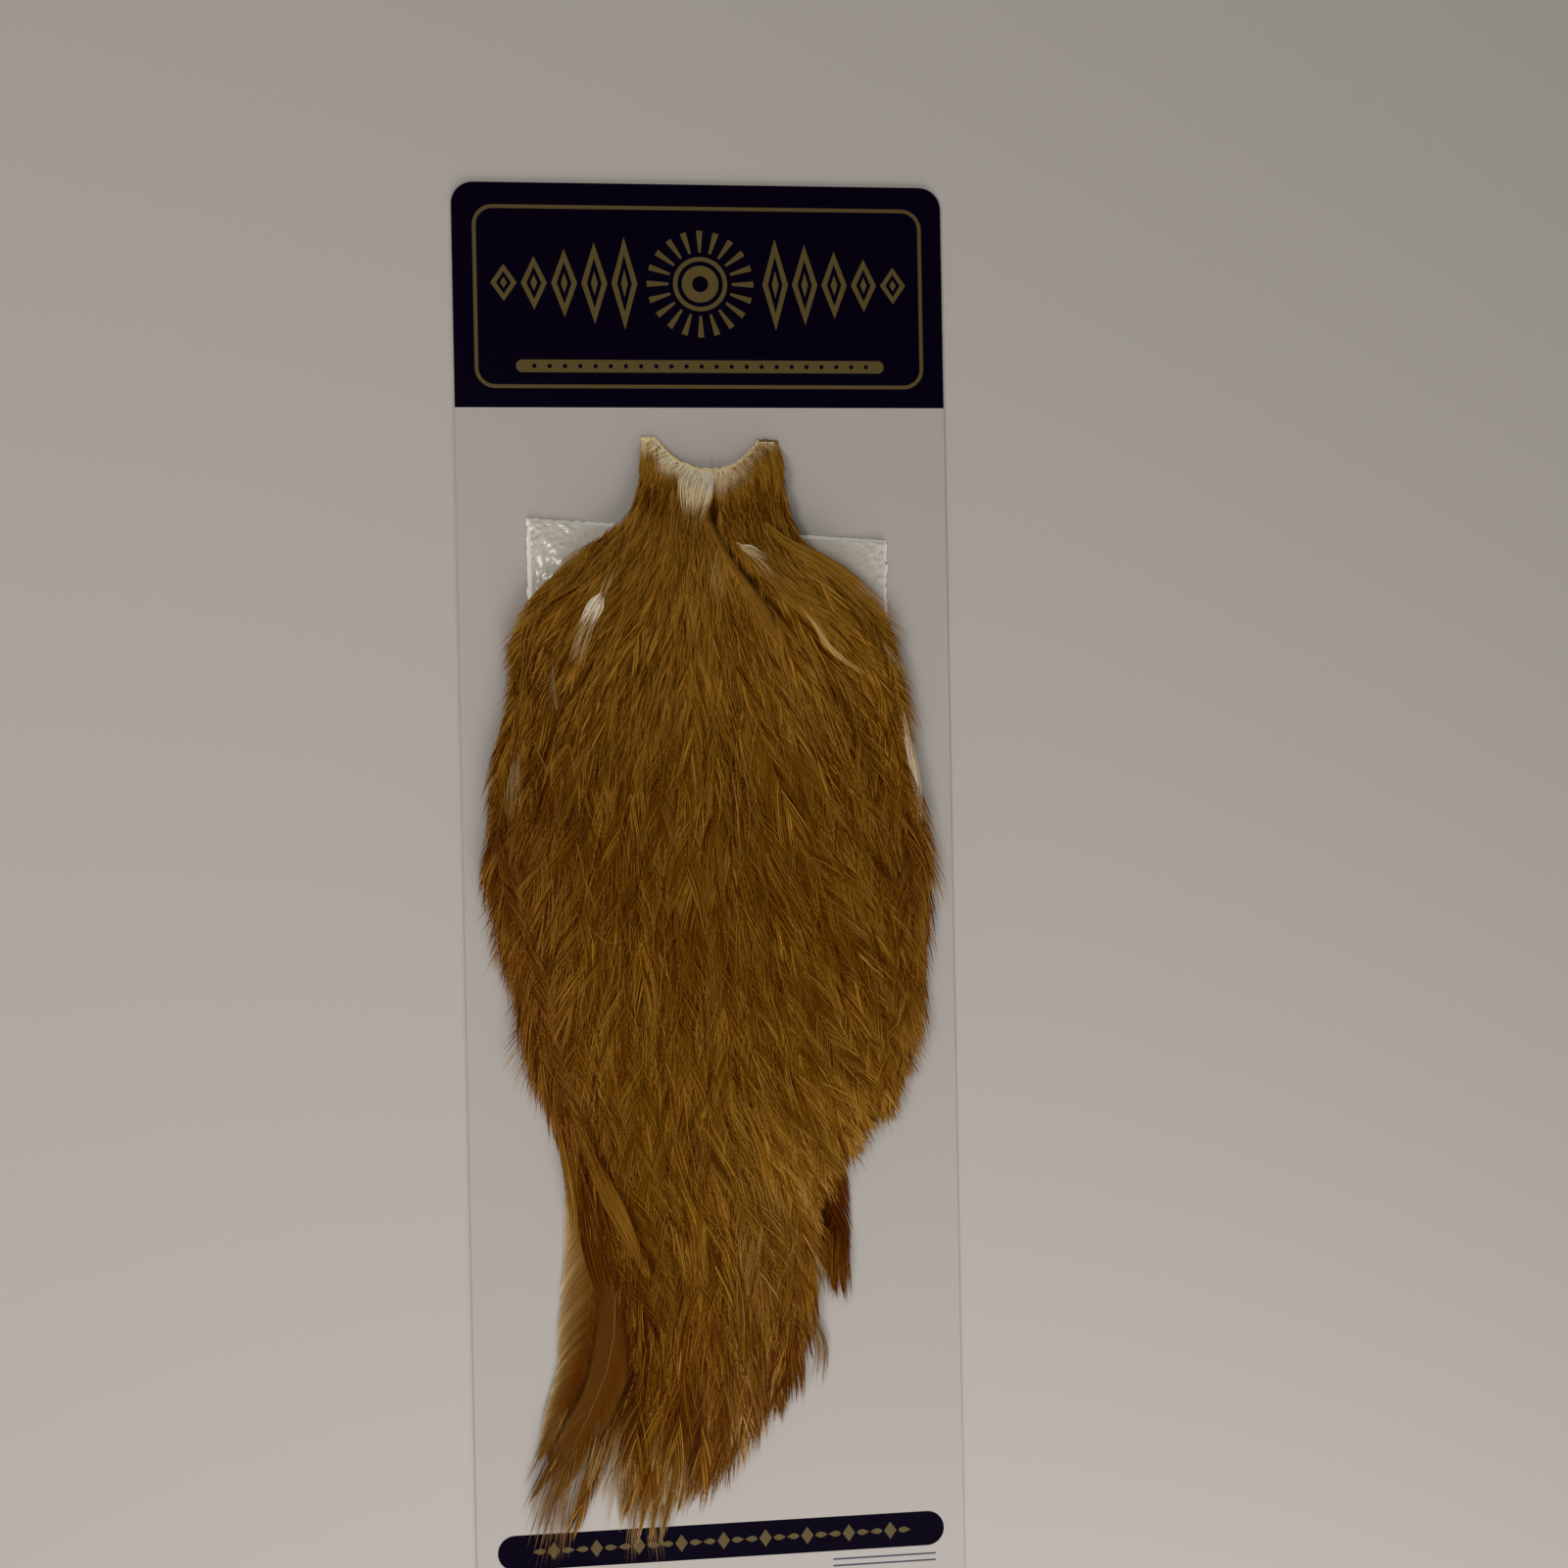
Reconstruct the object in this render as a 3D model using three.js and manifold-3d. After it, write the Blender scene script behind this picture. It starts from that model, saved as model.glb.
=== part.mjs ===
// A rooster cape: the cured neck skin of a rooster with its hackle feathers, fixed on a paperboard card.
// Millimetres, +Z up. The card lies flat, the cut edge of the neck is towards +Y and the feather tips
// are towards -Y. The origin is under the middle of the card, on the surface that it lies on.

import * as THREE from "three";
import { mergeVertices } from "three/addons/utils/BufferGeometryUtils.js";
import Module from "manifold-3d";

const wasm = await Module();
wasm.setup();

// Driving dimensions of the card and of the folded plastic pouch behind the skin
const CARD_WIDTH = 133;
const CARD_LENGTH = 406;
const CARD_THICKNESS = 0.8;
const CARD_CORNER_RADIUS = 6;
const POUCH_THICKNESS = 3;
const POUCH_EDGE_BEVEL = 0.9;
const POUCH_LEFT = -48;
const POUCH_RIGHT = 49.8;
const POUCH_FOOT = 13;
const POUCH_HEAD = { left: 112.5, right: 106 };

// Thin air between pieces that touch
const GAP = 0.3;
const CARD_TOP = CARD_THICKNESS;
const POUCH_TOP = CARD_TOP + GAP + POUCH_THICKNESS;

// The mass of feathers in plan: how far it reaches to either side at each place along the cape, as
// [place along Y, edge along X] from the neck down to the tips
const LEFT_EDGE = [
  [134, -17], [120, -18.5], [112, -22.5], [106, -29.5], [93, -43.5], [86, -48], [76, -51.5], [56, -56],
  [42, -57], [22, -61.5], [8, -58], [-18, -53], [-32, -51], [-40, -46.5], [-58, -42], [-72, -38.5],
  [-84, -35], [-98, -29.5], [-113, -25.5], [-128, -26], [-174, -31],
];
const RIGHT_EDGE = [
  [134, 20.5], [120, 21.5], [112, 22.5], [106, 26.5], [93, 42], [86, 48.5], [72, 52.2], [46, 53.5],
  [32, 57], [18, 60], [-5, 58.5], [-22, 57.5], [-35, 53.5], [-44, 52], [-52, 46], [-62, 40],
  [-70, 35], [-84, 31], [-100, 27.5], [-112, 23], [-127, 17.5], [-135, 9], [-154, -8], [-174, -18],
];
const EDGE_INSET = 2;
const NECK_Y = 133.5;
const NOTCH_DEPTH = 10.5;
const NOTCH_MIDDLE = -0.08;
const NOTCH_HALF = 0.75;
const MASS_END_Y = -138;
const TIP_Y = -174;

// How high the middle of the feathers stands over the card at each place along Y
const CREST = [
  [134, 6], [125, 7], [108, 9], [90, 11], [60, 13], [20, 13.6], [-30, 12], [-80, 9],
  [-120, 6], [-150, 3.6], [-172, 2.4],
];
const THINNEST = 1.4;
const NECK_RIM_THICKNESS = 2;
const NECK_RISE_LENGTH = 20;

// Where the cape comes down from the pouch to the card, as distances from the pouch's edge. Towards the
// neck a distance counts for less, because the bare skin there is stiff.
const COMES_DOWN = { from: 4, to: 18 };
const NECK_STIFFNESS = 0.6;

// How the feathers are combed: [x, y, degrees from straight down, positive towards +X]
const COMBING = [
  [-14, 121, -8], [-20, 105, -35], [-31, 97, -48], [-42, 74, -32], [-50, 45, -16], [-57, 15, -27],
  [-48, -20, -18], [-40, -48, 14], [-30, -75, 20], [-34, -112, -16], [-40, -146, -24],
  [1, 105, 0], [-18, 68, -20], [-28, 30, -5], [-10, 40, -8], [-20, -38, -2], [0, -10, 3],
  [17, 121, 6], [22, 110, 25], [30, 97, 44], [42, 84, 46], [50, 62, 22], [55, 30, 10], [57, -8, 12],
  [12, 68, 18], [24, 44, 24], [34, 2, 32], [20, -14, 21], [44, -40, 26], [27, -42, 34], [16, -62, 22],
  [4, -80, 9], [22, -96, 8], [-12, -98, 8], [-20, -120, -14], [4, -122, 0], [-12, -140, -12],
];
const COMB_REACH = 16;

// Rows of locks from the tips up to the neck: [place of the roots along the cape from 0 at the neck to 1
// at the tips, how many, how long, half as wide at the widest]
const LOCK_ROWS = [
  [0.7, 6, 90, 5.2],
  [0.56, 8, 80, 5.8],
  [0.42, 10, 72, 6.2],
  [0.3, 11, 62, 6.2],
  [0.18, 11, 52, 5.6],
  [0.08, 9, 38, 4.2],
  [0.01, 8, 24, 2.8],
];
const LOCK_STEPS = 5;
const LOCK_THICKNESS_SHARE = 0.5;
const TIP_OVERHANG = 2.5;

// The long feathers that show one by one at the lower left, and the russet one at the lower right, each
// as the line of its shaft from its root to its tip, half its width, and the layer that it lies in
const LONG_HACKLES = {
  lower_left_hackle_1: {
    line: [[-33, -78], [-34.2, -90], [-36, -106], [-40, -121], [-44.4, -134.5], [-49, -144]],
    half: 6.4,
    layers: [0, 0],
  },
  lower_left_hackle_2: {
    line: [[-30, -86], [-28.1, -98], [-29, -113], [-34.5, -128], [-43, -142], [-50.5, -165]],
    half: 4.6,
    layers: [1, 0],
  },
  lower_left_hackle_3: {
    line: [[-20.5, -112], [-24.5, -121], [-30.4, -135], [-36.5, -150.5], [-42.5, -171]],
    half: 4.2,
    layers: [0, 0],
  },
  russet_hackle: { line: [[29, -62], [31, -76], [32.4, -90], [34.8, -103]], half: 3.8, layers: [0, 0] },
};
const HACKLE_THICKNESS = 0.9;
const HACKLE_STEPS = 8;

// A pale feather that has slipped out of place and lies on top of the right shoulder
const SLIPPED_HACKLE_LINE = [[26.5, 82.5], [33.2, 75.5], [42.3, 67.6]];
const SLIPPED_HALF_WIDTH = 1.3;
const SLIPPED_RISE = 3.4;

const WHITE_BOARD = { color: 0xd9d4cc, roughness: 0.6, metalness: 0 };
const CLEAR_PLASTIC = { color: 0xdedcd6, roughness: 0.2, metalness: 0 };
const GINGER_FEATHER = { color: 0x8a5a1e, roughness: 0.55, metalness: 0 };
const RUSSET_FEATHER = { color: 0x6b3a16, roughness: 0.55, metalness: 0 };
const PALE_FEATHER = { color: 0xc2965a, roughness: 0.55, metalness: 0 };

// Curves and fields

// A smooth function through knots given as [place, value] in falling order of place.
function through(knots) {
  const slope = (i) => {
    const before = knots[Math.max(i - 1, 0)];
    const after = knots[Math.min(i + 1, knots.length - 1)];
    return (after[1] - before[1]) / (after[0] - before[0]);
  };
  return (place) => {
    const held = THREE.MathUtils.clamp(place, knots.at(-1)[0], knots[0][0]);
    let i = 0;
    while (i < knots.length - 2 && held < knots[i + 1][0]) i += 1;
    const [a, b] = [knots[i], knots[i + 1]];
    const span = b[0] - a[0];
    const t = (held - a[0]) / span;
    const [t2, t3] = [t * t, t * t * t];
    return (2 * t3 - 3 * t2 + 1) * a[1] + (t3 - 2 * t2 + t) * span * slope(i)
      + (3 * t2 - 2 * t3) * b[1] + (t3 - t2) * span * slope(i + 1);
  };
}

const leftEdge = through(LEFT_EDGE);
const rightEdge = through(RIGHT_EDGE);
const crest = through(CREST);

// Where a place lies across the cape: -1 at the left edge, 1 at the right one.
function acrossAt(x, y) {
  const [left, right] = [leftEdge(y), rightEdge(y)];
  return (2 * x - left - right) / (right - left);
}

// How far a place lies outside the pouch.
function outsidePouch(x, y) {
  const sideways = Math.max(x - POUCH_RIGHT, POUCH_LEFT - x, 0);
  const below = Math.max(POUCH_FOOT - y, 0);
  const above = NECK_STIFFNESS * Math.max(y - POUCH_HEAD.right, 0);
  return Math.hypot(sideways, below, above);
}

// The underside of the cape: on the pouch, and down on the card away from it.
function undersideAt(x, y) {
  const drop = THREE.MathUtils.smoothstep(outsidePouch(x, y), COMES_DOWN.from, COMES_DOWN.to);
  return THREE.MathUtils.lerp(POUCH_TOP, CARD_TOP, drop) + GAP;
}

// The edge of the neck across the cape: level at the two horns and hollow between them.
function neckEdge(across) {
  const hollow = Math.max(0, 1 - Math.pow(Math.abs(across - NOTCH_MIDDLE) / NOTCH_HALF, 2.2));
  return NECK_Y - NOTCH_DEPTH * hollow;
}

// The top of the mass of feathers, crowned across and thin at its edges and at the neck.
function topAt(x, y) {
  const across = THREE.MathUtils.clamp(acrossAt(x, y), -1, 1);
  const crown = Math.pow(1 - Math.pow(Math.abs(across), 2.6), 0.75);
  const under = undersideAt(x, y);
  const full = Math.max(under + THINNEST, CARD_TOP + GAP + crest(y) * crown);
  const risen = THREE.MathUtils.smoothstep(neckEdge(across) - y, -2, NECK_RISE_LENGTH);
  return THREE.MathUtils.lerp(under + NECK_RIM_THICKNESS, full, risen);
}

// The direction of the feathers at a place, as a unit vector.
function combedAt(x, y) {
  const way = new THREE.Vector2();
  for (const [cx, cy, degrees] of COMBING) {
    const apart = Math.hypot(x - cx, y - cy) / COMB_REACH;
    const weight = Math.exp(-apart * apart) + 1e-9;
    const angle = THREE.MathUtils.degToRad(degrees);
    way.x += weight * Math.sin(angle);
    way.y -= weight * Math.cos(angle);
  }
  return way.normalize();
}

// Meshes and solids

function geometryOf(points, triangles) {
  const geometry = new THREE.BufferGeometry();
  geometry.setAttribute("position", new THREE.Float32BufferAttribute(points.flat(), 3));
  geometry.setIndex(triangles.flat());
  return geometry;
}

function solidOf(geometry) {
  const bare = geometry.clone();
  bare.deleteAttribute("normal");
  bare.deleteAttribute("uv");
  const merged = mergeVertices(bare);
  return new wasm.Manifold(new wasm.Mesh({
    numProp: 3,
    vertProperties: merged.attributes.position.array,
    triVerts: new Uint32Array(merged.index.array),
  }));
}

function geometryFrom(solid) {
  const { vertProperties, triVerts, numProp } = solid.getMesh();
  const geometry = new THREE.BufferGeometry();
  geometry.setAttribute("position", new THREE.BufferAttribute(new Float32Array(vertProperties), numProp));
  geometry.setIndex(new THREE.BufferAttribute(new Uint32Array(triVerts), 1));
  geometry.computeVertexNormals();
  return geometry;
}

function named(name, geometry, finish) {
  const mesh = new THREE.Mesh(geometry, new THREE.MeshStandardMaterial(finish));
  mesh.name = name;
  return mesh;
}

function roundedRectangle(width, length, radius) {
  const [x, y] = [width / 2, length / 2];
  const shape = new THREE.Shape();
  shape.moveTo(radius - x, -y);
  shape.absarc(x - radius, radius - y, radius, -Math.PI / 2, 0);
  shape.absarc(x - radius, y - radius, radius, 0, Math.PI / 2);
  shape.absarc(radius - x, y - radius, radius, Math.PI / 2, Math.PI);
  shape.absarc(radius - x, radius - y, radius, Math.PI, 1.5 * Math.PI);
  return shape;
}

// A closed body lofted through rings of points. Each ring runs across the top and back along the
// underside, with as many points in both, so that its two ends close as ladders between them.
function lofted(rings) {
  const sides = rings[0].length;
  const triangles = [];
  for (let r = 0; r < rings.length - 1; r += 1) {
    for (let s = 0; s < sides; s += 1) {
      const [a, b] = [r * sides + s, r * sides + ((s + 1) % sides)];
      triangles.push([a, b, b + sides], [a, b + sides, a + sides]);
    }
  }
  const last = (rings.length - 1) * sides;
  for (let s = 0; s < sides / 2 - 1; s += 1) {
    const [a, b, c, d] = [s, s + 1, sides - 2 - s, sides - 1 - s];
    triangles.push([a, c, b], [a, d, c], [last + a, last + b, last + c], [last + a, last + c, last + d]);
  }
  return geometryOf(rings.flat(), triangles);
}

// Pieces of the cape

// The outline of a feather or lock along its length, from 0 at its root to 1 at its tip: narrow at the
// root, widest past the middle, and pointed.
function vaneWidth(t) {
  return Math.max(0.5 + 0.5 * Math.sin(Math.PI * Math.min(t / 0.9, 1)) - 0.47 * Math.pow(t, 5), 0.03);
}

// A flat ridged body along a line of [x, y, height of its middle]. No corner is lower than floorAt. With
// a swell it is that much bigger all round, to cut its own room with.
function blade(line, halfWidth, thickness, floorAt, swell = 0) {
  const rings = line.map(([x, y, z], i) => {
    const [before, after] = [line[Math.max(i - 1, 0)], line[Math.min(i + 1, line.length - 1)]];
    const side = new THREE.Vector2(before[1] - after[1], after[0] - before[0]).normalize();
    const share = vaneWidth(i / (line.length - 1));
    const [half, thick] = [halfWidth * share + swell, (thickness / 2) * Math.sqrt(share) + swell];
    const corner = (across, up) => {
      const [cx, cy] = [x + side.x * half * across, y + side.y * half * across];
      return [cx, cy, Math.max(z + thick * up, floorAt(cx, cy) - swell)];
    };
    return [corner(1, 0), corner(0, 1), corner(-1, 0), corner(0, -1)];
  });
  return lofted(rings);
}

// The centre line of a lock that is rooted at a place and follows the combing inside the outline. It
// starts a little inside the mass and its tip stands out of it.
function lockLine(x, y, length, halfWidth) {
  const line = [];
  const step = Math.min(length, y - TIP_Y) / LOCK_STEPS;
  const thickness = halfWidth * LOCK_THICKNESS_SHARE;
  const at = new THREE.Vector2(x, y);
  for (let i = 0; i <= LOCK_STEPS; i += 1) {
    const t = i / LOCK_STEPS;
    const margin = halfWidth * vaneWidth(t) - TIP_OVERHANG * t;
    at.x = THREE.MathUtils.clamp(at.x, leftEdge(at.y) + margin, rightEdge(at.y) - margin);
    line.push([at.x, at.y, topAt(at.x, at.y) + THREE.MathUtils.lerp(-0.5, 0.3, t) * thickness]);
    at.addScaledVector(combedAt(at.x, at.y), step);
  }
  return line;
}

// The mass of feathers on the skin, as one closed body between its underside and its crowned top.
function feltedMass() {
  const [columns, rows] = [12, 20];
  const rings = [];
  for (let row = 0; row <= rows; row += 1) {
    const [above, below] = [[], []];
    for (let column = 0; column <= columns; column += 1) {
      const across = (2 * column) / columns - 1;
      const y = THREE.MathUtils.lerp(neckEdge(across), MASS_END_Y, row / rows);
      const x = THREE.MathUtils.lerp(leftEdge(y) + EDGE_INSET, rightEdge(y) - EDGE_INSET, column / columns);
      above.unshift([x, y, topAt(x, y)]);
      below.push([x, y, undersideAt(x, y)]);
    }
    rings.push([...above, ...below]);
  }
  return solidOf(lofted(rings));
}

// The locks in their rows, each row over the one before.
function locks() {
  return LOCK_ROWS.flatMap(([along, count, length, halfWidth], row) => {
    const made = [];
    for (let i = 0; i < count; i += 1) {
      const stagger = row % 2 ? 0.2 : -0.2;
      const across = ((i + 0.5 + stagger) / count) * 1.9 - 0.95;
      const y = THREE.MathUtils.lerp(neckEdge(across) - 1.5, TIP_Y, along);
      const x = THREE.MathUtils.lerp(leftEdge(y), rightEdge(y), (across + 1) / 2);
      const line = lockLine(x, y, length * (1 + 0.12 * Math.sin(7 * i + 3 * row)), halfWidth);
      made.push(solidOf(blade(line, halfWidth, halfWidth * LOCK_THICKNESS_SHARE, undersideAt)));
    }
    return made;
  });
}

// Points along a smooth line through hand-placed ones, each at the height that heightAt gives.
function smoothLine(points, heightAt) {
  const curve = new THREE.CatmullRomCurve3(points.map(([x, y]) => new THREE.Vector3(x, y, 0)));
  return curve.getPoints(HACKLE_STEPS).map(({ x, y }, i) => [x, y, heightAt(x, y, i / HACKLE_STEPS)]);
}

// A long feather on the card, or on the feather in the layer under it.
function longHackle({ line, half, layers: [atRoot, atTip] }, swell) {
  const layerHeight = HACKLE_THICKNESS + GAP;
  const height = (x, y, t) => {
    const layer = THREE.MathUtils.lerp(atRoot, atTip, THREE.MathUtils.smoothstep(t, 0.6, 1));
    return CARD_TOP + GAP + HACKLE_THICKNESS / 2 + layer * layerHeight;
  };
  return blade(smoothLine(line, height), half, HACKLE_THICKNESS, () => CARD_TOP + GAP, swell);
}

// The slipped feather, which follows the top of the mass just over it.
function slippedHackle(swell) {
  const line = smoothLine(SLIPPED_HACKLE_LINE, (x, y) => topAt(x, y) + SLIPPED_RISE);
  return blade(line, SLIPPED_HALF_WIDTH, HACKLE_THICKNESS, undersideAt, swell);
}

// The feathers that are pieces of their own: each one's name, its shape and its finish.
const singleFeathers = Object.entries(LONG_HACKLES).map(([name, hackle]) => ({
  name,
  finish: name === "russet_hackle" ? RUSSET_FEATHER : GINGER_FEATHER,
  shape: (swell) => longHackle(hackle, swell),
}));
singleFeathers.push({ name: "slipped_hackle", finish: PALE_FEATHER, shape: slippedHackle });

function card() {
  const outline = roundedRectangle(CARD_WIDTH, CARD_LENGTH, CARD_CORNER_RADIUS);
  return new THREE.ExtrudeGeometry(outline, { depth: CARD_THICKNESS, bevelEnabled: false, curveSegments: 6 });
}

// The folded pouch with its rounded edges. With a swell it is that much bigger all round.
function pouch(swell = 0) {
  const outline = new THREE.Shape([
    new THREE.Vector2(POUCH_LEFT, POUCH_FOOT),
    new THREE.Vector2(POUCH_RIGHT, POUCH_FOOT),
    new THREE.Vector2(POUCH_RIGHT, POUCH_HEAD.right),
    new THREE.Vector2(POUCH_LEFT, POUCH_HEAD.left),
  ]);
  const body = new THREE.ExtrudeGeometry(outline, {
    depth: POUCH_THICKNESS - 2 * POUCH_EDGE_BEVEL,
    bevelThickness: POUCH_EDGE_BEVEL + swell,
    bevelSize: POUCH_EDGE_BEVEL + swell,
    bevelOffset: -POUCH_EDGE_BEVEL,
    bevelSegments: 3,
  });
  return body.translate(0, 0, CARD_TOP + GAP + POUCH_EDGE_BEVEL);
}

// The skin with its feathers: the mass and its locks joined, clear of the pouch and of the feathers that
// lie apart.
function featheredSkin() {
  const whole = locks().reduce((body, lock) => body.add(lock), feltedMass());
  const neighbours = [pouch(GAP), ...singleFeathers.map(({ shape }) => shape(GAP))];
  return neighbours.reduce((body, neighbour) => body.subtract(solidOf(neighbour)), whole);
}

const cape = new THREE.Group();
cape.add(named("backing_card", card(), WHITE_BOARD));
cape.add(named("plastic_pouch", pouch(), CLEAR_PLASTIC));
cape.add(named("feathered_skin", geometryFrom(featheredSkin()), GINGER_FEATHER));
for (const { name, finish, shape } of singleFeathers) cape.add(named(name, shape(0), finish));

export default cape;
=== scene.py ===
import math
from collections import namedtuple

import bpy
import numpy as np
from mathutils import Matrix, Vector, geometry
from mathutils.bvhtree import BVHTree


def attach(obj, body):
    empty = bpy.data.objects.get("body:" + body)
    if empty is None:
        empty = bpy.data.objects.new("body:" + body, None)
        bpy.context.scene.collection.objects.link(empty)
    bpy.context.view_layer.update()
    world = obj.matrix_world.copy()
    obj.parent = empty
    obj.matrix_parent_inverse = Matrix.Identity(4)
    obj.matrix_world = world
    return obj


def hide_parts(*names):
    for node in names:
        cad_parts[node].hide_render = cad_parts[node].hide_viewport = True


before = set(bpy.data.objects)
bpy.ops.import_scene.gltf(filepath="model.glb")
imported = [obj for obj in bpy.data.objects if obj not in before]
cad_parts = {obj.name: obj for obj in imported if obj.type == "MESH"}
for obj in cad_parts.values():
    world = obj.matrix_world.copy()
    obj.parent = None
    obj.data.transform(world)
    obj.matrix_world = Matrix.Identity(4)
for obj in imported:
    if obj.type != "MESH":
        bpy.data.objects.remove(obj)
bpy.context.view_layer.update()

# A rooster cape on its card, lying face up. Sizes here are millimetres, and MM turns them into metres
# where a mesh is made. +Y runs from the feather tips to the neck.
MM = 0.001
random = np.random.default_rng(7)

# The camera, as the photograph's: over the card, turned a little about each axis
CAMERA_PLACE = (-17.4, 42.05, 428.4)
CAMERA_PITCH, CAMERA_YAW, CAMERA_ROLL = (math.radians(d) for d in (-0.33, -5.05, -1.06))
LENS = 36
SENSOR = 36

# The card and what is printed on it
CARD_HALF_WIDTH = 66.5
CARD_HALF_LENGTH = 203
CARD_THICKNESS = 0.8
CARD_CORNER = 6
BAND_EDGE_Y = 142.4
FRAME_HALF_WIDTH = 61
FRAME_LOW_Y, FRAME_HIGH_Y = 147.6, 197
FRAME_CORNER = 5.5
FRAME_LINE = 1.0
# The sun between the lozenges: its rays as (how many, inner and outer radius, half width) and the radii of
# its discs, gold and navy by turns. The lozenges' heights from the sun outwards, how far apart they are,
# and the half width and share of the height of each of the three that lie on each other.
SUN_Y = 176
SUN_RAYS = (20, 8.6, 14.5, 0.85)
SUN_DISCS = (7.4, 6.2, 5.0, 2.2)
LOZENGE_HEIGHTS = (12.5, 11, 9.2, 7.2, 5)
LOZENGE_FROM, LOZENGE_STEP = 20.5, 8.1
LOZENGE_LAYERS = ((3.5, 1), (2.0, 0.62), (0.9, 0.3))
BAR_Y = -166.9
BAR_HALF_HEIGHT = 4.75
RULE_YS = (-173.9, -175.7)
RULE_FROM, RULE_TO = 30, 58.6
# The places of the inks in the card's list of materials, after the bare board
NAVY_INK, GOLD_INK, GREY_INK = 1, 2, 3

# The folded film bag under the cape: its edges, with its head's left and right end, about how far it
# spans each way, how wide its hem is, and how many facets its film is crumpled into
POUCH_LEFT, POUCH_RIGHT = -48, 49.8
POUCH_FOOT = 13
POUCH_HEAD = (112.5, 106)
POUCH_LOW_Z, POUCH_HIGH_Z = 1.1, 4.1
POUCH_SPAN = 98
POUCH_HEM = 1.0
FILM_FACETS = 5200
# How crumpled the film is: everywhere, and more round its upper corners, as (x, y, how much, reach)
FILM_CRUMPLED = 0.04
FILM_CORNERS = ((POUCH_LEFT, POUCH_HEAD[0], 0.24, 16), (POUCH_RIGHT, POUCH_HEAD[1], 0.14, 12))

# The neck's edge: level at two horns, and hollow between them
NECK_Y = 133.8
NECK_TILT = 0.5
NOTCH_DEPTH = 8.6
NOTCH_MIDDLE = -0.04
NOTCH_HALF = 0.74
# Where the skin and its down end under the feathers
DOWN_FOOT_Y = -130

# The feathers' edge along the cape: y, left and right
FEATHER_EDGE = np.array([
    (134, -16.8, 20.4), (125, -17, 21.2), (118, -18, 21.8), (112, -22.6, 23), (106, -31.4, 27),
    (100, -38.6, 35), (93, -46, 42), (87, -48.6, 48.2), (80, -51.8, 49.8), (64, -53.4, 53.6),
    (48, -57.4, 54.2), (32, -58.4, 57.8), (20, -61, 59.8), (8, -58.4, 59), (-10, -54, 58),
    (-20, -52.4, 57.6), (-30, -50.6, 54.4), (-40, -47, 52.4), (-50, -43.8, 49), (-55, -42.4, 43.6),
    (-60, -41, 40), (-68, -38.8, 35), (-74, -37.4, 28.6), (-80, -35, 26.6), (-92, -30, 25),
    (-100, -26.6, 25), (-112, -24.6, 22.8), (-120, -26, 21.4), (-128, -27.4, 18.6), (-134, -28, 14),
    (-140, -28.2, 8.6), (-146, -28.2, 0.6), (-152, -28, -6), (-158, -28, -10.6), (-166, -27.6, -15.4),
    (-175, -26, -17.6),
], float)

# How the feathers are combed: x, y and degrees from straight down, positive towards +X
COMBING = np.array([
    (-14, 121, -6), (-19, 108, -30), (-31, 97, -46), (-42, 78, -34), (-50, 48, -18), (-57, 18, -24),
    (-48, -20, -18), (-40, -48, 14), (-30, -75, 20), (-34, -112, -16), (-40, -146, -24), (1, 105, 0),
    (-18, 68, -18), (-28, 30, -6), (-10, 40, -8), (-20, -38, -2), (0, -10, 3), (10, 122, 2),
    (17, 121, 6), (24, 106, 28), (30, 97, 44), (42, 84, 44), (50, 62, 22), (55, 30, 10), (57, -8, 12),
    (12, 68, 18), (24, 44, 24), (34, 2, 30), (20, -14, 21), (44, -40, 26), (27, -42, 32), (16, -62, 22),
    (4, -80, 9), (22, -96, 10), (-12, -98, 4), (-20, -120, -14), (4, -122, 0), (-12, -140, -12),
    (-4, -100, 4), (14, -118, 6),
], float)
COMB_REACH = 15

# Beside the right shoulder the cape is parted: a valley runs down from the notch between a ridge and the
# edge of a flap of shoulder feathers. The combing is y and degrees of the flap's own feathers.
VALLEY = np.array([
    (2.2, 116), (2.4, 109), (4.7, 104.6), (7.7, 99.4), (11.4, 94.3), (14.6, 90.2), (18, 86.4), (21.5, 82.8),
], float)
RIDGE = np.array([
    (0.6, 110), (3, 105.4), (6, 99), (9.6, 93.4), (12.8, 88.4), (15.6, 83), (18.6, 77.6),
], float)
FLAP_LINE = np.array([
    (2.9, 114), (3.6, 108.6), (7.4, 103.6), (11.5, 98), (16, 94), (21, 90.6), (25.6, 86.6), (29, 82),
    (32.8, 76.8), (37.5, 72.1), (42.1, 68.6),
], float)
FLAP_COMBING = ((62, 36), (72, 46), (84, 47), (92, 46), (100, 38), (108, 20), (118, 4))
FLAP_RISE = 1.1
FLAP_SINK = 0.7
VALLEY_DEPTH, VALLEY_WIDTH = 3.0, 1.1
RIDGE_RISE, RIDGE_WIDTH = 1.2, 2.2
# How much thinner the skin gets towards the neck's edge
NECK_SINK = 2.2

# The tips of the feathers that end the cape: x, y and half the width of the feather
TAIL_TIPS = (
    (-27.9, -160, 1.6), (-25, -165, 1.6), (-22.6, -160, 2), (-21.5, -166, 1.8), (-17.7, -166, 1.8),
    (-15.9, -163, 1.8), (-12.6, -158.6, 2), (-11, -156.6, 2), (-8.8, -155, 1.8), (-6.6, -151.4, 2.2),
    (-4.6, -151, 1.8), (-2.2, -145.4, 2.2), (0.4, -141.8, 2), (3.8, -138.4, 2.2), (7, -135, 2.2),
    (10.4, -136.4, 1.5), (12.8, -132, 1.8), (15.7, -129, 1.8), (17.4, -128.4, 1.6), (19.3, -125.4, 2),
    (22.8, -124, 1.5), (25.2, -120, 1.6), (26.4, -114, 1.6), (25.6, -109, 1.6),
)

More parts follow.
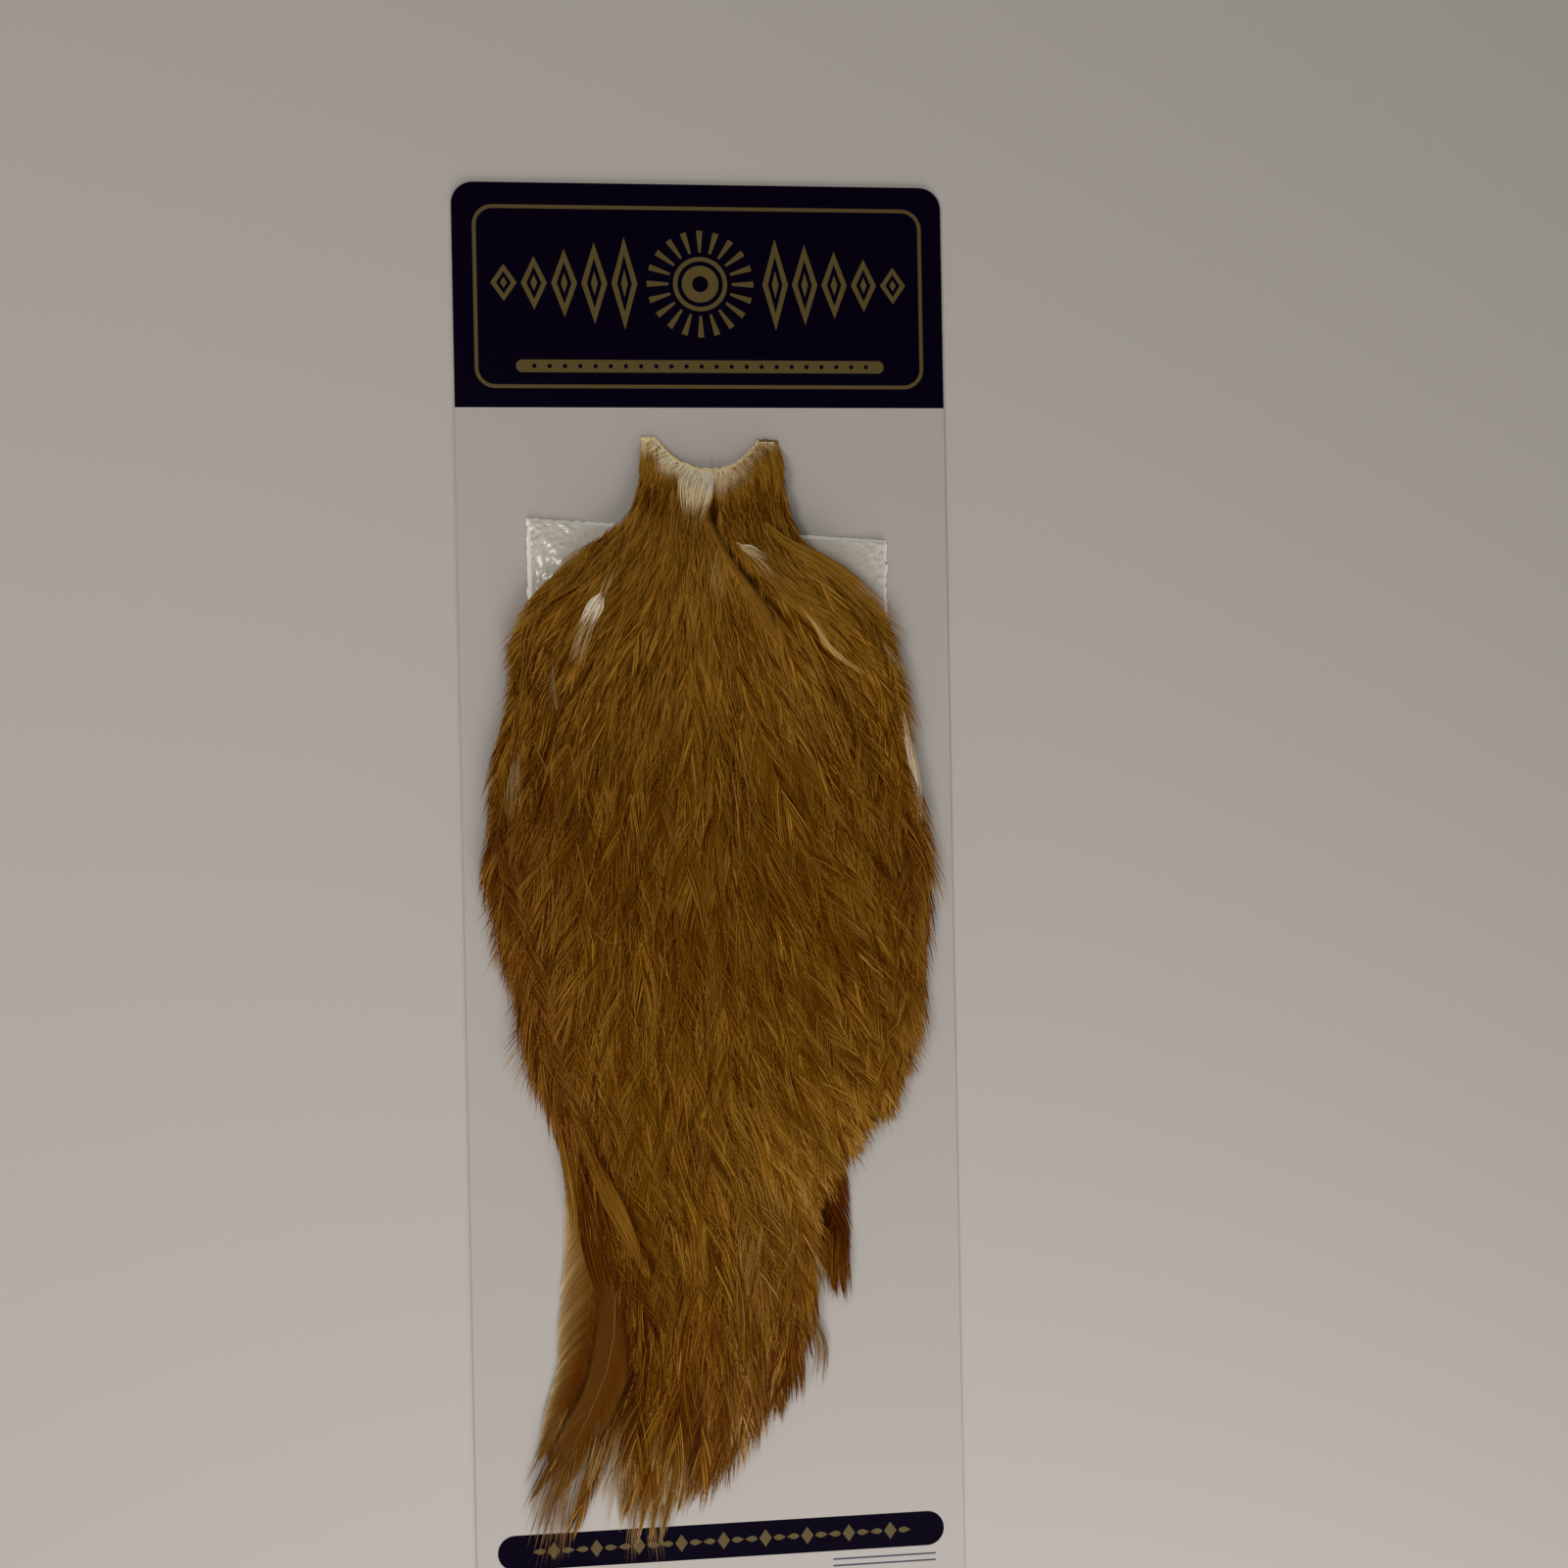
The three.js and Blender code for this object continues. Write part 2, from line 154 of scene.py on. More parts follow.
# How feathers are built. barbs: on each side. fan: degrees from the shaft at its root and its tip.
# reach: barb lengths at the root, a little along and at the tip. half: half a barb's width. ruffle: how
# much its barbs' directions differ, and vary: their lightness. depth: how much painted shade darkens
# them at the root and painted light lightens them at the tip. paler: how much paler at the tip.
Kind = namedtuple("Kind", "barbs fan reach half ruffle vary depth paler")
BODY = Kind(26, (20, 7), (12, 16, 10), 0.13, 0.8, 1.15, 0.15, 0)
UPPER = Kind(44, (22, 8), (14, 18, 11), 0.095, 0.6, 1.35, 0.11, 0.01)
NECK = Kind(16, (15, 7), (6, 8, 6), 0.11, 0.8, 0.9, 0.12, 0)
EDGE = Kind(44, (12, 5), (9, 12, 7), 0.12, 0.8, 1, 0.12, 0)
SHORT = Kind(12, (12, 6), (4.5, 6, 4.5), 0.1, 0.8, 0.9, 0.1, 0)
TAIL = Kind(34, (11, 3), (14, 17, 6), 0.08, 0.45, 0.7, 0.14, 0.26)
WISPY = Kind(260, (30, 13), (12, 16, 14), 0.2, 0.3, 0.4, 0.04, 0.08)
SATIN = Kind(220, (40, 24), (12, 16.5, 5), 0.27, 0.14, 0.16, 0, 0.2)
RUSSET = Kind(150, (27, 5), (10, 13, 10), 0.15, 0.4, 0.35, 0.06, 0.12)
FRINGE = Kind(30, (13, 6), (9, 11, 7), 0.09, 0.7, 1.1, 0.1, 0.08)
INNER = Kind(110, (17, 7), (10, 13, 9), 0.1, 0.7, 1.1, 0.12, 0.1)
TIPPED = Kind(24, (29, 19), (8, 11, 10), 0.08, 0.3, 0.8, 0.16, 0.04)
SLIPPED = Kind(50, (15, 7), (1.0, 4.6, 3.4), 0.13, 0.3, 0.3, 0.04, 0)
# How far barbs are turned about themselves, how many lie together, and the share that is painted bright as
# highlights, or dark as shade between barbs
BARB_ROLL = math.radians(9)
BARBS_A_CLUMP = 4
ODD_BARBS = 0.09
# A barb's three steps, as (share of its length, share of its angle), and along its four points how wide
# it is, how much it splays up, droops, turns pale, and is painted shaded at its root and lit at its tip
BARB_STEPS = ((0.4, 1.2), (0.35, 0.95), (0.25, 0.65))
BARB_WIDTHS = np.array([0.85, 1, 0.8, 0])
BARB_SPLAY = np.array([0, 0.5, 0.9, 1.2])
BARB_DROOP = np.array([0, 0.05, 0.18, 0.4])
BARB_PALER = np.array([0, 0, 0.45, 1])
BARB_SHADE_TO_LIGHT = np.array([-1, -0.45, 0.2, 0.6])

# How many feathers, barbs and hairs there are outside the tracts
RIM_FEATHERS, SIDE_FEATHERS, FLAP_FEATHERS, QUILLS = 130, 50, 70, 26
OUTLINE_FEATHERS = (120, 94)
LOOSE_BARBS, HAIRS_A_SIDE = 8600, 700
NOTCH_TUFTS, BARBS_A_TUFT = 30, 17


def scatter(width, shape):
    """Random numbers around zero, most of them within a width of it."""
    return width * random.normal(size=shape)


# Fields over the card, all in millimetres

GRID_X = np.arange(-66, 67)
GRID_Y = np.arange(-180, 141)


def smoothstep(value, low, high):
    t = np.clip((value - low) / (high - low), 0, 1)
    return t * t * (3 - 2 * t)


def filled(grid):
    """The grid with its empty places filled from their neighbours, and then softened."""
    out = grid.copy()
    while np.isnan(out).any():
        padded = np.pad(out, 1, constant_values=np.nan)
        near = np.stack([padded[1:-1, :-2], padded[1:-1, 2:], padded[:-2, 1:-1], padded[2:, 1:-1]])
        known = ~np.isnan(near)
        total = np.where(known, near, 0).sum(0)
        count = known.sum(0)
        fresh = np.isnan(out) & (count > 0)
        out[fresh] = total[fresh] / count[fresh]
    kernel = np.ones(3) / 3
    for axis in (0, 1, 0, 1):
        wide = np.pad(out, [(1, 1) if a == axis else (0, 0) for a in (0, 1)], mode="edge")
        out = np.apply_along_axis(lambda line: np.convolve(line, kernel, "valid"), axis, wide)
    return out


def heights_over(node, from_above=True):
    """The height of a node's surface on a grid of whole millimetres, carried on beside it."""
    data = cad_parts[node].data
    data.calc_loop_triangles()
    corners = [t.vertices[:] for t in data.loop_triangles]
    tree = BVHTree.FromPolygons([v.co[:] for v in data.vertices], corners)
    way = Vector((0, 0, -1 if from_above else 1))
    start = 0.1 if from_above else -0.1
    grid = np.full((len(GRID_Y), len(GRID_X)), np.nan)
    for row, y in enumerate(GRID_Y):
        for column, x in enumerate(GRID_X):
            hit = tree.ray_cast(Vector((x * MM, y * MM, start)), way)[0]
            if hit:
                grid[row, column] = hit.z / MM
    return filled(grid)


TOP = heights_over("feathered_skin")
UNDER = heights_over("feathered_skin", from_above=False)


def left_edge(y):
    return np.interp(-y, -FEATHER_EDGE[:, 0], FEATHER_EDGE[:, 1])


def right_edge(y):
    return np.interp(-y, -FEATHER_EDGE[:, 0], FEATHER_EDGE[:, 2])


def x_across(across, y, inset=0):
    """The x at a place across the cape, which goes from -1 at its left edge to 1 at its right one."""
    left, right = left_edge(y) + inset, right_edge(y) - inset
    return left + (right - left) * (across + 1) / 2


def near_edge(right, y, inset):
    """The x of places inside the right edge where right is true, and inside the left one elsewhere."""
    return np.where(right, right_edge(y) - inset, left_edge(y) + inset)


def on_grid(grid, x, y):
    """The grid's value at any places, between its points."""
    column = np.clip(x - GRID_X[0], 0, len(GRID_X) - 1.001)
    row = np.clip(y - GRID_Y[0], 0, len(GRID_Y) - 1.001)
    c, r = column.astype(int), row.astype(int)
    u, v = column - c, row - r
    low = grid[r, c] * (1 - u) + grid[r, c + 1] * u
    high = grid[r + 1, c] * (1 - u) + grid[r + 1, c + 1] * u
    return low * (1 - v) + high * v


def neck_edge(across):
    hollow = np.maximum(0, 1 - np.abs((across - NOTCH_MIDDLE) / NOTCH_HALF) ** 2.2)
    return NECK_Y - NECK_TILT * across - NOTCH_DEPTH * hollow


def across_at(x, y):
    left, right = left_edge(y), right_edge(y)
    return (2 * x - left - right) / np.maximum(right - left, 1)


def unit(ways):
    return ways / np.maximum(np.linalg.norm(ways, axis=-1, keepdims=True), 1e-6)


def beside(ways):
    """The directions to the left of ways, seen from above."""
    return np.stack([-ways[..., 1], ways[..., 0]], -1)


def heading(angle):
    """The directions at angles from straight down."""
    return np.stack([np.sin(angle), -np.cos(angle)], -1)


def beside_line(line, x, y):
    """How far places lie from a line, positive on its left as one goes along it, negative on its right."""
    best = np.full(np.shape(x), 1e9)
    signed = np.zeros(np.shape(x))
    for a, b in zip(line[:-1], line[1:]):
        along = b - a
        t = np.clip(((x - a[0]) * along[0] + (y - a[1]) * along[1]) / (along @ along), 0, 1)
        dx, dy = x - a[0] - t * along[0], y - a[1] - t * along[1]
        away = np.hypot(dx, dy)
        side = np.sign(along[0] * dy - along[1] * dx)
        nearer = away < best
        best = np.where(nearer, away, best)
        signed = np.where(nearer, away * side, signed)
    return signed


def flap_ends(y):
    """1 along the flap, 0 beyond its ends."""
    return smoothstep(y, 60, 72) * (1 - smoothstep(y, 113, 118))


def flap_share(x, y):
    """1 on the shoulder's side of the flap's line, 0 on the other side and beyond its ends."""
    return smoothstep(beside_line(FLAP_LINE, x, y), -0.3, 0.5) * flap_ends(y)


def surface(x, y, on_flap):
    """The height of the feathers that lie on the flap (on_flap 1) or beside and under it (0)."""
    beyond = beside_line(FLAP_LINE, x, y)
    raised = FLAP_RISE * on_flap * (1 - smoothstep(beyond, 6, 20))
    sunk = FLAP_SINK * (1 - on_flap) * smoothstep(beyond, -1, 1) * (1 - smoothstep(beyond, 4, 12))
    valley = VALLEY_DEPTH * np.exp(-(beside_line(VALLEY, x, y) / VALLEY_WIDTH) ** 2) * smoothstep(y, 80, 97)
    ridge = RIDGE_RISE * np.exp(-(beside_line(RIDGE, x, y) / RIDGE_WIDTH) ** 2)
    thin = NECK_SINK * (1 - smoothstep(neck_edge(across_at(x, y)) - y, 0, 8))
    return on_grid(TOP, x, y) - thin + (raised - sunk - valley + ridge) * flap_ends(y)


def combed(x, y):
    """The direction of the feathers at each place, in radians from straight down."""
    dx = x[..., None] - COMBING[:, 0]
    dy = y[..., None] - COMBING[:, 1]
    weight = np.exp(-(dx * dx + dy * dy) / COMB_REACH ** 2) + 1e-9
    angle = np.radians(COMBING[:, 2])
    main = np.arctan2((weight * np.sin(angle)).sum(-1), (weight * np.cos(angle)).sum(-1))
    ys, degrees = zip(*FLAP_COMBING)
    near = flap_share(x, y) * (1 - smoothstep(beside_line(FLAP_LINE, x, y), 3, 14))
    return main + near * (np.radians(np.interp(y, ys, degrees)) - main)


def curve_through(points, steps=24):
    """A smooth line through points, as an array of steps + 1 places."""
    points = np.array(points, float)
    ends = np.concatenate([[2 * points[0] - points[1]], points, [2 * points[-1] - points[-2]]])
    at = np.linspace(0, len(points) - 1, steps + 1)
    i = np.minimum(at.astype(int), len(points) - 2)
    t = (at - i)[:, None]
    a, b, c, d = (ends[i + k] for k in range(4))
    squared, cubed = 2 * a - 5 * b + 4 * c - d, 3 * b - a - 3 * c + d
    return 0.5 * (2 * b + (c - a) * t + squared * t ** 2 + cubed * t ** 3)


# Meshes

def link(name, mesh, materials):
    """An object for the mesh, in the scene."""
    piece = bpy.data.objects.new(name, mesh)
    bpy.context.scene.collection.objects.link(piece)
    for made in materials:
        mesh.materials.append(made)
    return piece


def place(piece, slot, *nodes):
    """Every piece rides on the root, in place of nodes of the frame. slot is not used."""
    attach(piece, "root")
    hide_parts(*nodes)


# Half the width of a ribbon in the map of its colours, so that its faces aren't empty there, and how far
# all of them keep from the map's edges
MAP_HALF = 0.002
MAP_MARGIN = 0.004


def ribbon_mesh(name, centres, halves, sides, tints, lights):
    """Many flat pointed ribbons in one mesh, as centres (n, k, 3), half widths (n, k), side directions
    (n, 3), and at each centre a place in the palette (n, k) and how light it is (n, k)."""
    n, k, _ = centres.shape
    across = sides[:, None, :] * halves[..., None]
    left = (centres - across)[:, :-1]
    right = (centres + across)[:, :-1]
    pairs = np.stack([left, right], 2).reshape(n, 2 * (k - 1), 3)
    verts = np.concatenate([pairs, centres[:, -1:]], 1).reshape(-1, 3)
    per = 2 * (k - 1) + 1
    quads = [(2 * i, 2 * i + 1, 2 * i + 3, 2 * i + 2) for i in range(k - 2)]
    last = (2 * (k - 2), 2 * (k - 2) + 1, 2 * (k - 1))
    corners = np.array([c for quad in quads for c in quad] + list(last))
    loops = (np.arange(n)[:, None] * per + corners).ravel()
    starts = 4 * np.arange(k - 1)
    loop_starts = (np.arange(n)[:, None] * len(corners) + starts).ravel()

    mesh = bpy.data.meshes.new(name)
    mesh.vertices.add(len(verts))
    mesh.loops.add(len(loops))
    mesh.polygons.add(len(loop_starts))
    mesh.vertices.foreach_set("co", (verts * MM).astype(np.float32).ravel())
    mesh.loops.foreach_set("vertex_index", loops.astype(np.int32))
    mesh.polygons.foreach_set("loop_start", loop_starts.astype(np.int32))
    mesh.polygons.foreach_set("use_smooth", np.ones(len(loop_starts), bool))
    mesh.update(calc_edges=True)

    u = np.stack([tints - MAP_HALF, tints + MAP_HALF], 2)[:, :-1].reshape(n, -1)
    u = np.concatenate([u, tints[:, -1:]], 1)
    v = np.concatenate([np.repeat(lights[:, :-1], 2, 1), lights[:, -1:]], 1)
    uv = np.stack([u, v], 2)[:, corners].reshape(-1).clip(MAP_MARGIN, 1 - MAP_MARGIN)
    mesh.uv_layers.new(name="OFBake").uv.foreach_set("vector", uv.astype(np.float32))
    return mesh


def grid_mesh(name, points, closed=False):
    """A sheet of quads through points (rows, columns, 3). closed joins its last column to its first."""
    rows, columns, _ = points.shape
    turns = columns if closed else columns - 1
    r, c = np.meshgrid(np.arange(rows - 1), np.arange(turns), indexing="ij")
    a = r * columns + c
    b = r * columns + (c + 1) % columns
    faces = np.stack([a, b, b + columns, a + columns], -1).reshape(-1, 4)
    mesh = bpy.data.meshes.new(name)
    mesh.from_pydata((points.reshape(-1, 3) * MM).tolist(), [], faces.tolist())
    mesh.polygons.foreach_set("use_smooth", np.ones(len(faces), bool))
    return mesh


def ribbon_piece(name, ribbons, slot="ginger_feather", nodes=("feathered_skin",)):
    place(link(name, ribbon_mesh(name, *ribbons), [FEATHER]), slot, *nodes)


# Feathers

SHAFT_STEPS = 10


def steered(at, angle, margin):
    """The angle turned along the outline where a shaft comes nearer to it than its margin."""
    y = at[:, 1]
    for side, edge in ((-1, left_edge), (1, right_edge)):
        along = np.arctan((edge(y - 4) - edge(y)) / 4).clip(-0.5, 0.5)
        room = side * (edge(y) - at[:, 0]) - margin
        inwards = along - side * 0.25 * smoothstep(-room, 0, 3)
        share = (1 - smoothstep(room, 0, 6)) * (side * (angle - inwards) > 0)
        free = smoothstep(np.abs(angle - inwards), 0.3, 0.55) * smoothstep(-y, 36, 48)
        share = share * (1 - free)
        angle = angle + (inwards - angle) * share
    return angle


def walked(x, y, length, turn, steps, margin=None):
    """Shafts that start at places and follow the combing, as (n, steps + 1, 2), steered along the outline
    where they have a margin."""
    at = np.stack([x, y], -1)
    line = [at]
    for _ in range(steps):
        angle = combed(at[:, 0], at[:, 1]) + turn
        if margin is not None:
            angle = steered(at, angle, margin)
        at = at + (length / steps)[:, None] * heading(angle)
        line.append(at)
    return np.stack(line, 1)


def grown_down(x, y, length, turn, steps=SHAFT_STEPS, clear=1.0, overhang=0.0):
    """Shafts that follow the combing and end where their barbs, which reach overhang past them, would
    leave the outline. clear is how many half widths of a vane they keep from it at the sides."""
    margin = clear * (1.2 + 2.8 * (1 - smoothstep(y, 85, 112))) * random.uniform(0.7, 1.5, len(x))
    if np.any(overhang):
        ahead = walked(x, y, length + overhang, turn, steps, margin)
        outside = (ahead[..., 0] > right_edge(ahead[..., 1])) | (ahead[..., 0] < left_edge(ahead[..., 1]))
        first = np.where(outside[:, 1:].any(1), outside[:, 1:].argmax(1) + 0.5, steps)
        length = np.clip(first / steps * (length + overhang) - overhang, 0.2 * length, length)
    return walked(x, y, length, turn, steps, margin)


def grown_to(x, y, length, turn):
    """Shafts that end at places, found backwards up the combing."""
    return walked(x, y, -length, turn, SHAFT_STEPS)[:, ::-1]


def straight_lines(x, y, angle, reach, k):
    """Straight lines from places, as (n, k, 2)."""
    along = reach[:, None] * np.linspace(0, 1, k)
    return np.stack([x, y], -1)[:, None] + heading(angle)[:, None] * along[..., None]


def along_lines(lines, t):
    """The place and direction at shares t (n, m) of the lines (n, k, 2)."""
    k = lines.shape[1] - 1
    at = np.clip(t, 0, 0.9999) * k
    i = at.astype(int)
    f = (at - i)[..., None]
    rows = np.arange(len(lines))[:, None]
    a, b = lines[rows, i], lines[rows, i + 1]
    before = lines[rows, np.maximum(i - 1, 0)]
    after = lines[rows, np.minimum(i + 2, k)]
    way = (b - before) * (1 - f) + (after - a) * f
    return a * (1 - f) + b * f, unit(way)


def in_clumps(shape):
    """Random values that neighbours along the last axis share in clumps."""
    count = -(-shape[-1] // BARBS_A_CLUMP) + 2
    few = random.normal(size=shape[:-1] + (count,))
    start = random.integers(0, BARBS_A_CLUMP, size=shape[:-1] + (1,))
    index = (np.arange(shape[-1]) + start) // BARBS_A_CLUMP
    return np.take_along_axis(few, index, -1)


def turned(vector, by):
    c, s = np.cos(by), np.sin(by)
    return np.stack([vector[..., 0] * c - vector[..., 1] * s, vector[..., 0] * s + vector[..., 1] * c], -1)


def ground_at(ground, x, y, on_flap):
    """The height of what feathers lie on, which is the cape's surface where no ground is given."""
    return surface(x, y, on_flap) if ground is None else on_grid(ground, x, y)


def over_card(flat, z, clear=0.2):
    """The places (..., 2) with their heights, which stay clear of the card."""
    return np.concatenate([flat, np.maximum(z, CARD_THICKNESS + clear)[..., None]], -1)


def columns_of(n, *values):
    """Columns of n numbers from values that are one number or n of them."""
    return [np.broadcast_to(np.asarray(value, float), n)[:, None] for value in values]


def on_the_flap(lines):
    """Whether each feather grows on the flap, as 0 or 1."""
    return (flap_share(lines[:, 0, 0], lines[:, 0, 1]) > 0.5).astype(float)[:, None]


def barbs_on(lines, lift, tint, kind, ground, scale, light):
    """The barbs of feathers whose shafts are lines (n, k, 2), as the arguments of ribbon_mesh. lift(t)
    is how high a feather is over the ground at shares t of its length; tint, scale and light are one
    value or one for each feather."""
    n, barbs, ruffle = len(lines), kind.barbs, kind.ruffle
    tint, scale, light = columns_of(n, tint, scale, light)
    t = (np.arange(barbs) + random.uniform(0.1, 0.9, (n, 2, barbs))) / barbs
    t = t.reshape(n, -1)
    side = np.repeat([[-1.0] * barbs + [1.0] * barbs], n, 0)
    root, way = along_lines(lines, t)
    clump = in_clumps((n, 2, barbs)).reshape(n, -1)
    half_vane = np.repeat(random.normal(size=(n, 2)), barbs, 1)
    own, glow = random.normal(size=(2, n, 2 * barbs))

    first_angle, last_angle = kind.fan
    angle = first_angle + (last_angle - first_angle) * t ** 1.2
    spread = 1 + ruffle * random.uniform(-0.3, 0.5, (n, 1))
    angle = np.radians(np.maximum(angle * spread + ruffle * (1.7 * clump + 1.3 * own), 2))
    length = np.interp(t, (0, 0.4, 1), kind.reach) * scale * (1 + 0.1 * ruffle * own)
    places = [root]
    for share, bend in BARB_STEPS:
        places.append(places[-1] + turned(way, side * angle * bend) * (share * length)[..., None])
    flat = np.stack(places, 2).reshape(n * 2 * barbs, 4, 2)

    splay = ruffle * (0.14 * clump + 0.09 * own + 0.08)
    height = lift(t)[..., None] + (splay[..., None] * BARB_SPLAY - BARB_DROOP * (1 - t[..., None]))
    on_flap = np.repeat(on_the_flap(lines), 2 * barbs, 0)
    z = ground_at(ground, flat[..., 0], flat[..., 1], on_flap) + height.reshape(-1, 4)
    centres = over_card(flat, z, 0.15)

    roll = (side * BARB_ROLL + BARB_ROLL * ruffle * (clump + 0.6 * own)).ravel()
    thick = kind.half * (1 + scatter(0.2, n * 2 * barbs)).clip(0.5, 1.6)
    halves = thick[:, None] * BARB_WIDTHS
    colours, lights = barb_colours(kind, tint, light, clump, half_vane, glow)
    return centres, halves, sides_of(centres, roll), colours, lights


def barb_colours(kind, tint, light, clump, half_vane, glow):
    """The palette places and the lightness of barbs from their roots to their tips, painted shaded at the
    roots and lit at the tips. A few are painted much brighter, as highlights, or darker, as shade between
    barbs."""
    vary = kind.vary
    bright, dark = (random.random((2, *clump.shape)) < ODD_BARBS) * vary
    colours = (tint + 0.012 * clump + 0.012 * glow + 0.03 * bright).reshape(-1, 1)
    colours = colours + kind.paler * BARB_PALER
    lights = light + vary * (0.035 * half_vane + 0.11 * clump + 0.13 * glow)
    lights = 0.5 + lights + 0.32 * bright - 0.42 * dark
    return colours, lights.reshape(-1, 1) + kind.depth * BARB_SHADE_TO_LIGHT


def sides_of(centres, roll):
    """The direction across each ribbon, turned about it by roll."""
    line = centres[:, -2] - centres[:, 0]
    across = np.pad(unit(beside(line)), ((0, 0), (0, 1)))
    return across * np.cos(roll)[:, None] + np.array([0, 0, 1.0]) * np.sin(roll)[:, None]


def shafts_on(lines, lift, tint, half, ground, light):
    """The shafts themselves, as the arguments of ribbon_mesh."""
    n, samples = len(lines), 8
    t = np.repeat(np.linspace(0, 1, samples)[None], n, 0)
    places, way = along_lines(lines, t)
    z = ground_at(ground, places[..., 0], places[..., 1], on_the_flap(lines)) + lift(t) + 0.08
    centres = over_card(places, z)
    sides = np.pad(beside(way.mean(1)), ((0, 0), (0, 1)))
    colours = np.repeat(columns_of(n, tint)[0] + 0.03, samples, 1)
    return centres, half * (1 - 0.75 * t), sides, colours, np.full((n, samples), 0.5 + light)


# Soft places of another colour over the cape: x, y, half width, half length, palette place and strength
PALE_PLACES = (
    (-2.4, 119.6, 4.4, 5.4, 0.96, 1.0), (-3, 115.4, 2.6, 3.2, 0.86, 0.7), (4.5, 120.5, 3.2, 3.6, 0.89, 0.7),
    (10, 122.5, 3, 3.6, 0.88, 0.5), (-9.6, 126, 4, 3.4, 0.94, 0.85), (-29.8, 87.6, 1.6, 3.6, 0.92, 0.7),
    (-32.6, 81.4, 1.5, 3.4, 0.86, 0.5), (-34.8, 75, 1.2, 3.6, 0.78, 0.3), (2.4, 95.5, 1.6, 6, 0.74, 0.6),
    (-52.5, 36, 2.6, 5, 0.76, 0.4), (-30, -30, 4, 8, 0.66, 0.25),
)

# Soft bands of another colour along lines: the line, half width, palette place, strength and lightness
BANDS = (
    # The first three bands paint shade into the valley and along the flap's edge below it; the fourth paints
    # the ridge's lit bank lighter, as a highlight
    (VALLEY, 0.75, 0.42, 0.8, -0.5),
    ([(5.2, 109), (7.4, 104.4), (10.6, 99.4), (14.4, 94.4), (18, 90)], 1.8, 0.45, 0.4, -0.2),
    ([(20, 84), (26, 78), (31, 71)], 2.6, 0.45, 0.4, -0.1),
    (RIDGE, 1.6, 0.43, 0.8, 0.6),
    ([(-13.4, 118), (-11.6, 111)], 3, 0.46, 0.5, -0.22),
    ([(13, 117), (13.6, 110)], 2.6, 0.46, 0.5, -0.22),
    ([(24, 99), (38, 87), (47, 70)], 7, 0.54, 0.5, 0.12),
    ([(16.4, 107), (21.3, 104.1), (30.1, 100.1), (37.9, 96.1), (48, 87)], 1.3, 0.55, 0.7, 0.22),
    ([(16, 95), (20.4, 90.6), (27, 84)], 0.9, 0.6, 0.7, 0.1),
    ([(-33.4, -52), (-26.9, -68), (-22.6, -76), (-18.2, -88), (-18.4, -93)], 0.8, 0.42, 0.6, -0.4),
    ([(-40, -48), (-36.4, -60), (-33.2, -71.4), (-31.7, -78)], 1.5, 0.42, 0.7, -0.3),
    ([(21, 116), (22.6, 108), (25, 102)], 1.0, 0.42, 0.6, -0.24),
    ([(-32.5, -84), (-33.6, -100), (-36.6, -115), (-41.5, -127)], 2.6, 0.5, 0.6, -0.16),
    ([(-26, -102), (-26.2, -110), (-28.4, -119), (-32.8, -130), (-37, -138)], 2.2, 0.58, 0.6, -0.45),
)

# Painted light along the cape, for how the light falls on it: how much lighter the feathers are than their
# palette, lighter at the neck and darker at the tail, as y and lightness
PAINTED_LIGHT_ALONG_CAPE = (
    (134, 0.3), (112, 0.27), (100, 0.32), (88, 0.3), (74, 0.16), (60, 0.17), (44, 0.08), (28, 0.02),
    (10, 0.0), (-8, -0.04), (-26, 0.07), (-44, 0.05), (-60, 0.04), (-76, 0.0), (-92, -0.05),
    (-108, -0.24), (-124, -0.31), (-150, -0.2),
)


# Waves of tint across and along the cape, in turns to the millimetre
TINT_WAVES = ((0.045, 0.021), (0.083, 0.037), (0.13, 0.05))


def tint_at(x, y):
    """The place in the palette of the feathers, redder towards the sides and more golden lower down."""
    across = np.abs(across_at(x, y))
    tint = 0.5 - 0.08 * smoothstep(across, 0.5, 0.95) * (1 - smoothstep(y, 60, 90))
    tint = tint - 0.05 * smoothstep(-x, 12, 40) * smoothstep(y, -70, -20) * (1 - smoothstep(y, 55, 85))
    tint = tint + 0.055 * (1 - smoothstep(y, -70, -20))
    tint = tint + 0.05 * smoothstep(y, -130, -80) * smoothstep(x, -14, 8) * (1 - smoothstep(y, -50, 10))
    tint = tint + 0.07 * (1 - smoothstep(y, -140, -95))
    patches = 0
    for k, (fx, fy) in enumerate(TINT_WAVES):
        patches = patches + np.sin(fx * x * 6.28 + 2.1 * k + 1.7 * np.sin(fy * y * 6.28 + k)) / (k + 1.5)
    return tint + 0.008 * patches


def painted_light_at(x, y):
    """The painted light on the feathers: how much lighter they are than their palette, more at the neck and
    less at the tail for how the light falls, and changed towards the sides.
    """
    ys, lights = zip(*PAINTED_LIGHT_ALONG_CAPE)
    across = smoothstep(np.abs(across_at(x, y)), 0.45, 0.9)
    low_sides = 0.09 * across * (1 - smoothstep(y, 20, 50)) * smoothstep(y, -80, -50)
    high_sides = 0.07 * across * smoothstep(y, 35, 60) * (1 - smoothstep(y, 85, 100))
    return np.interp(-y, -np.array(ys), lights) + low_sides - high_sides


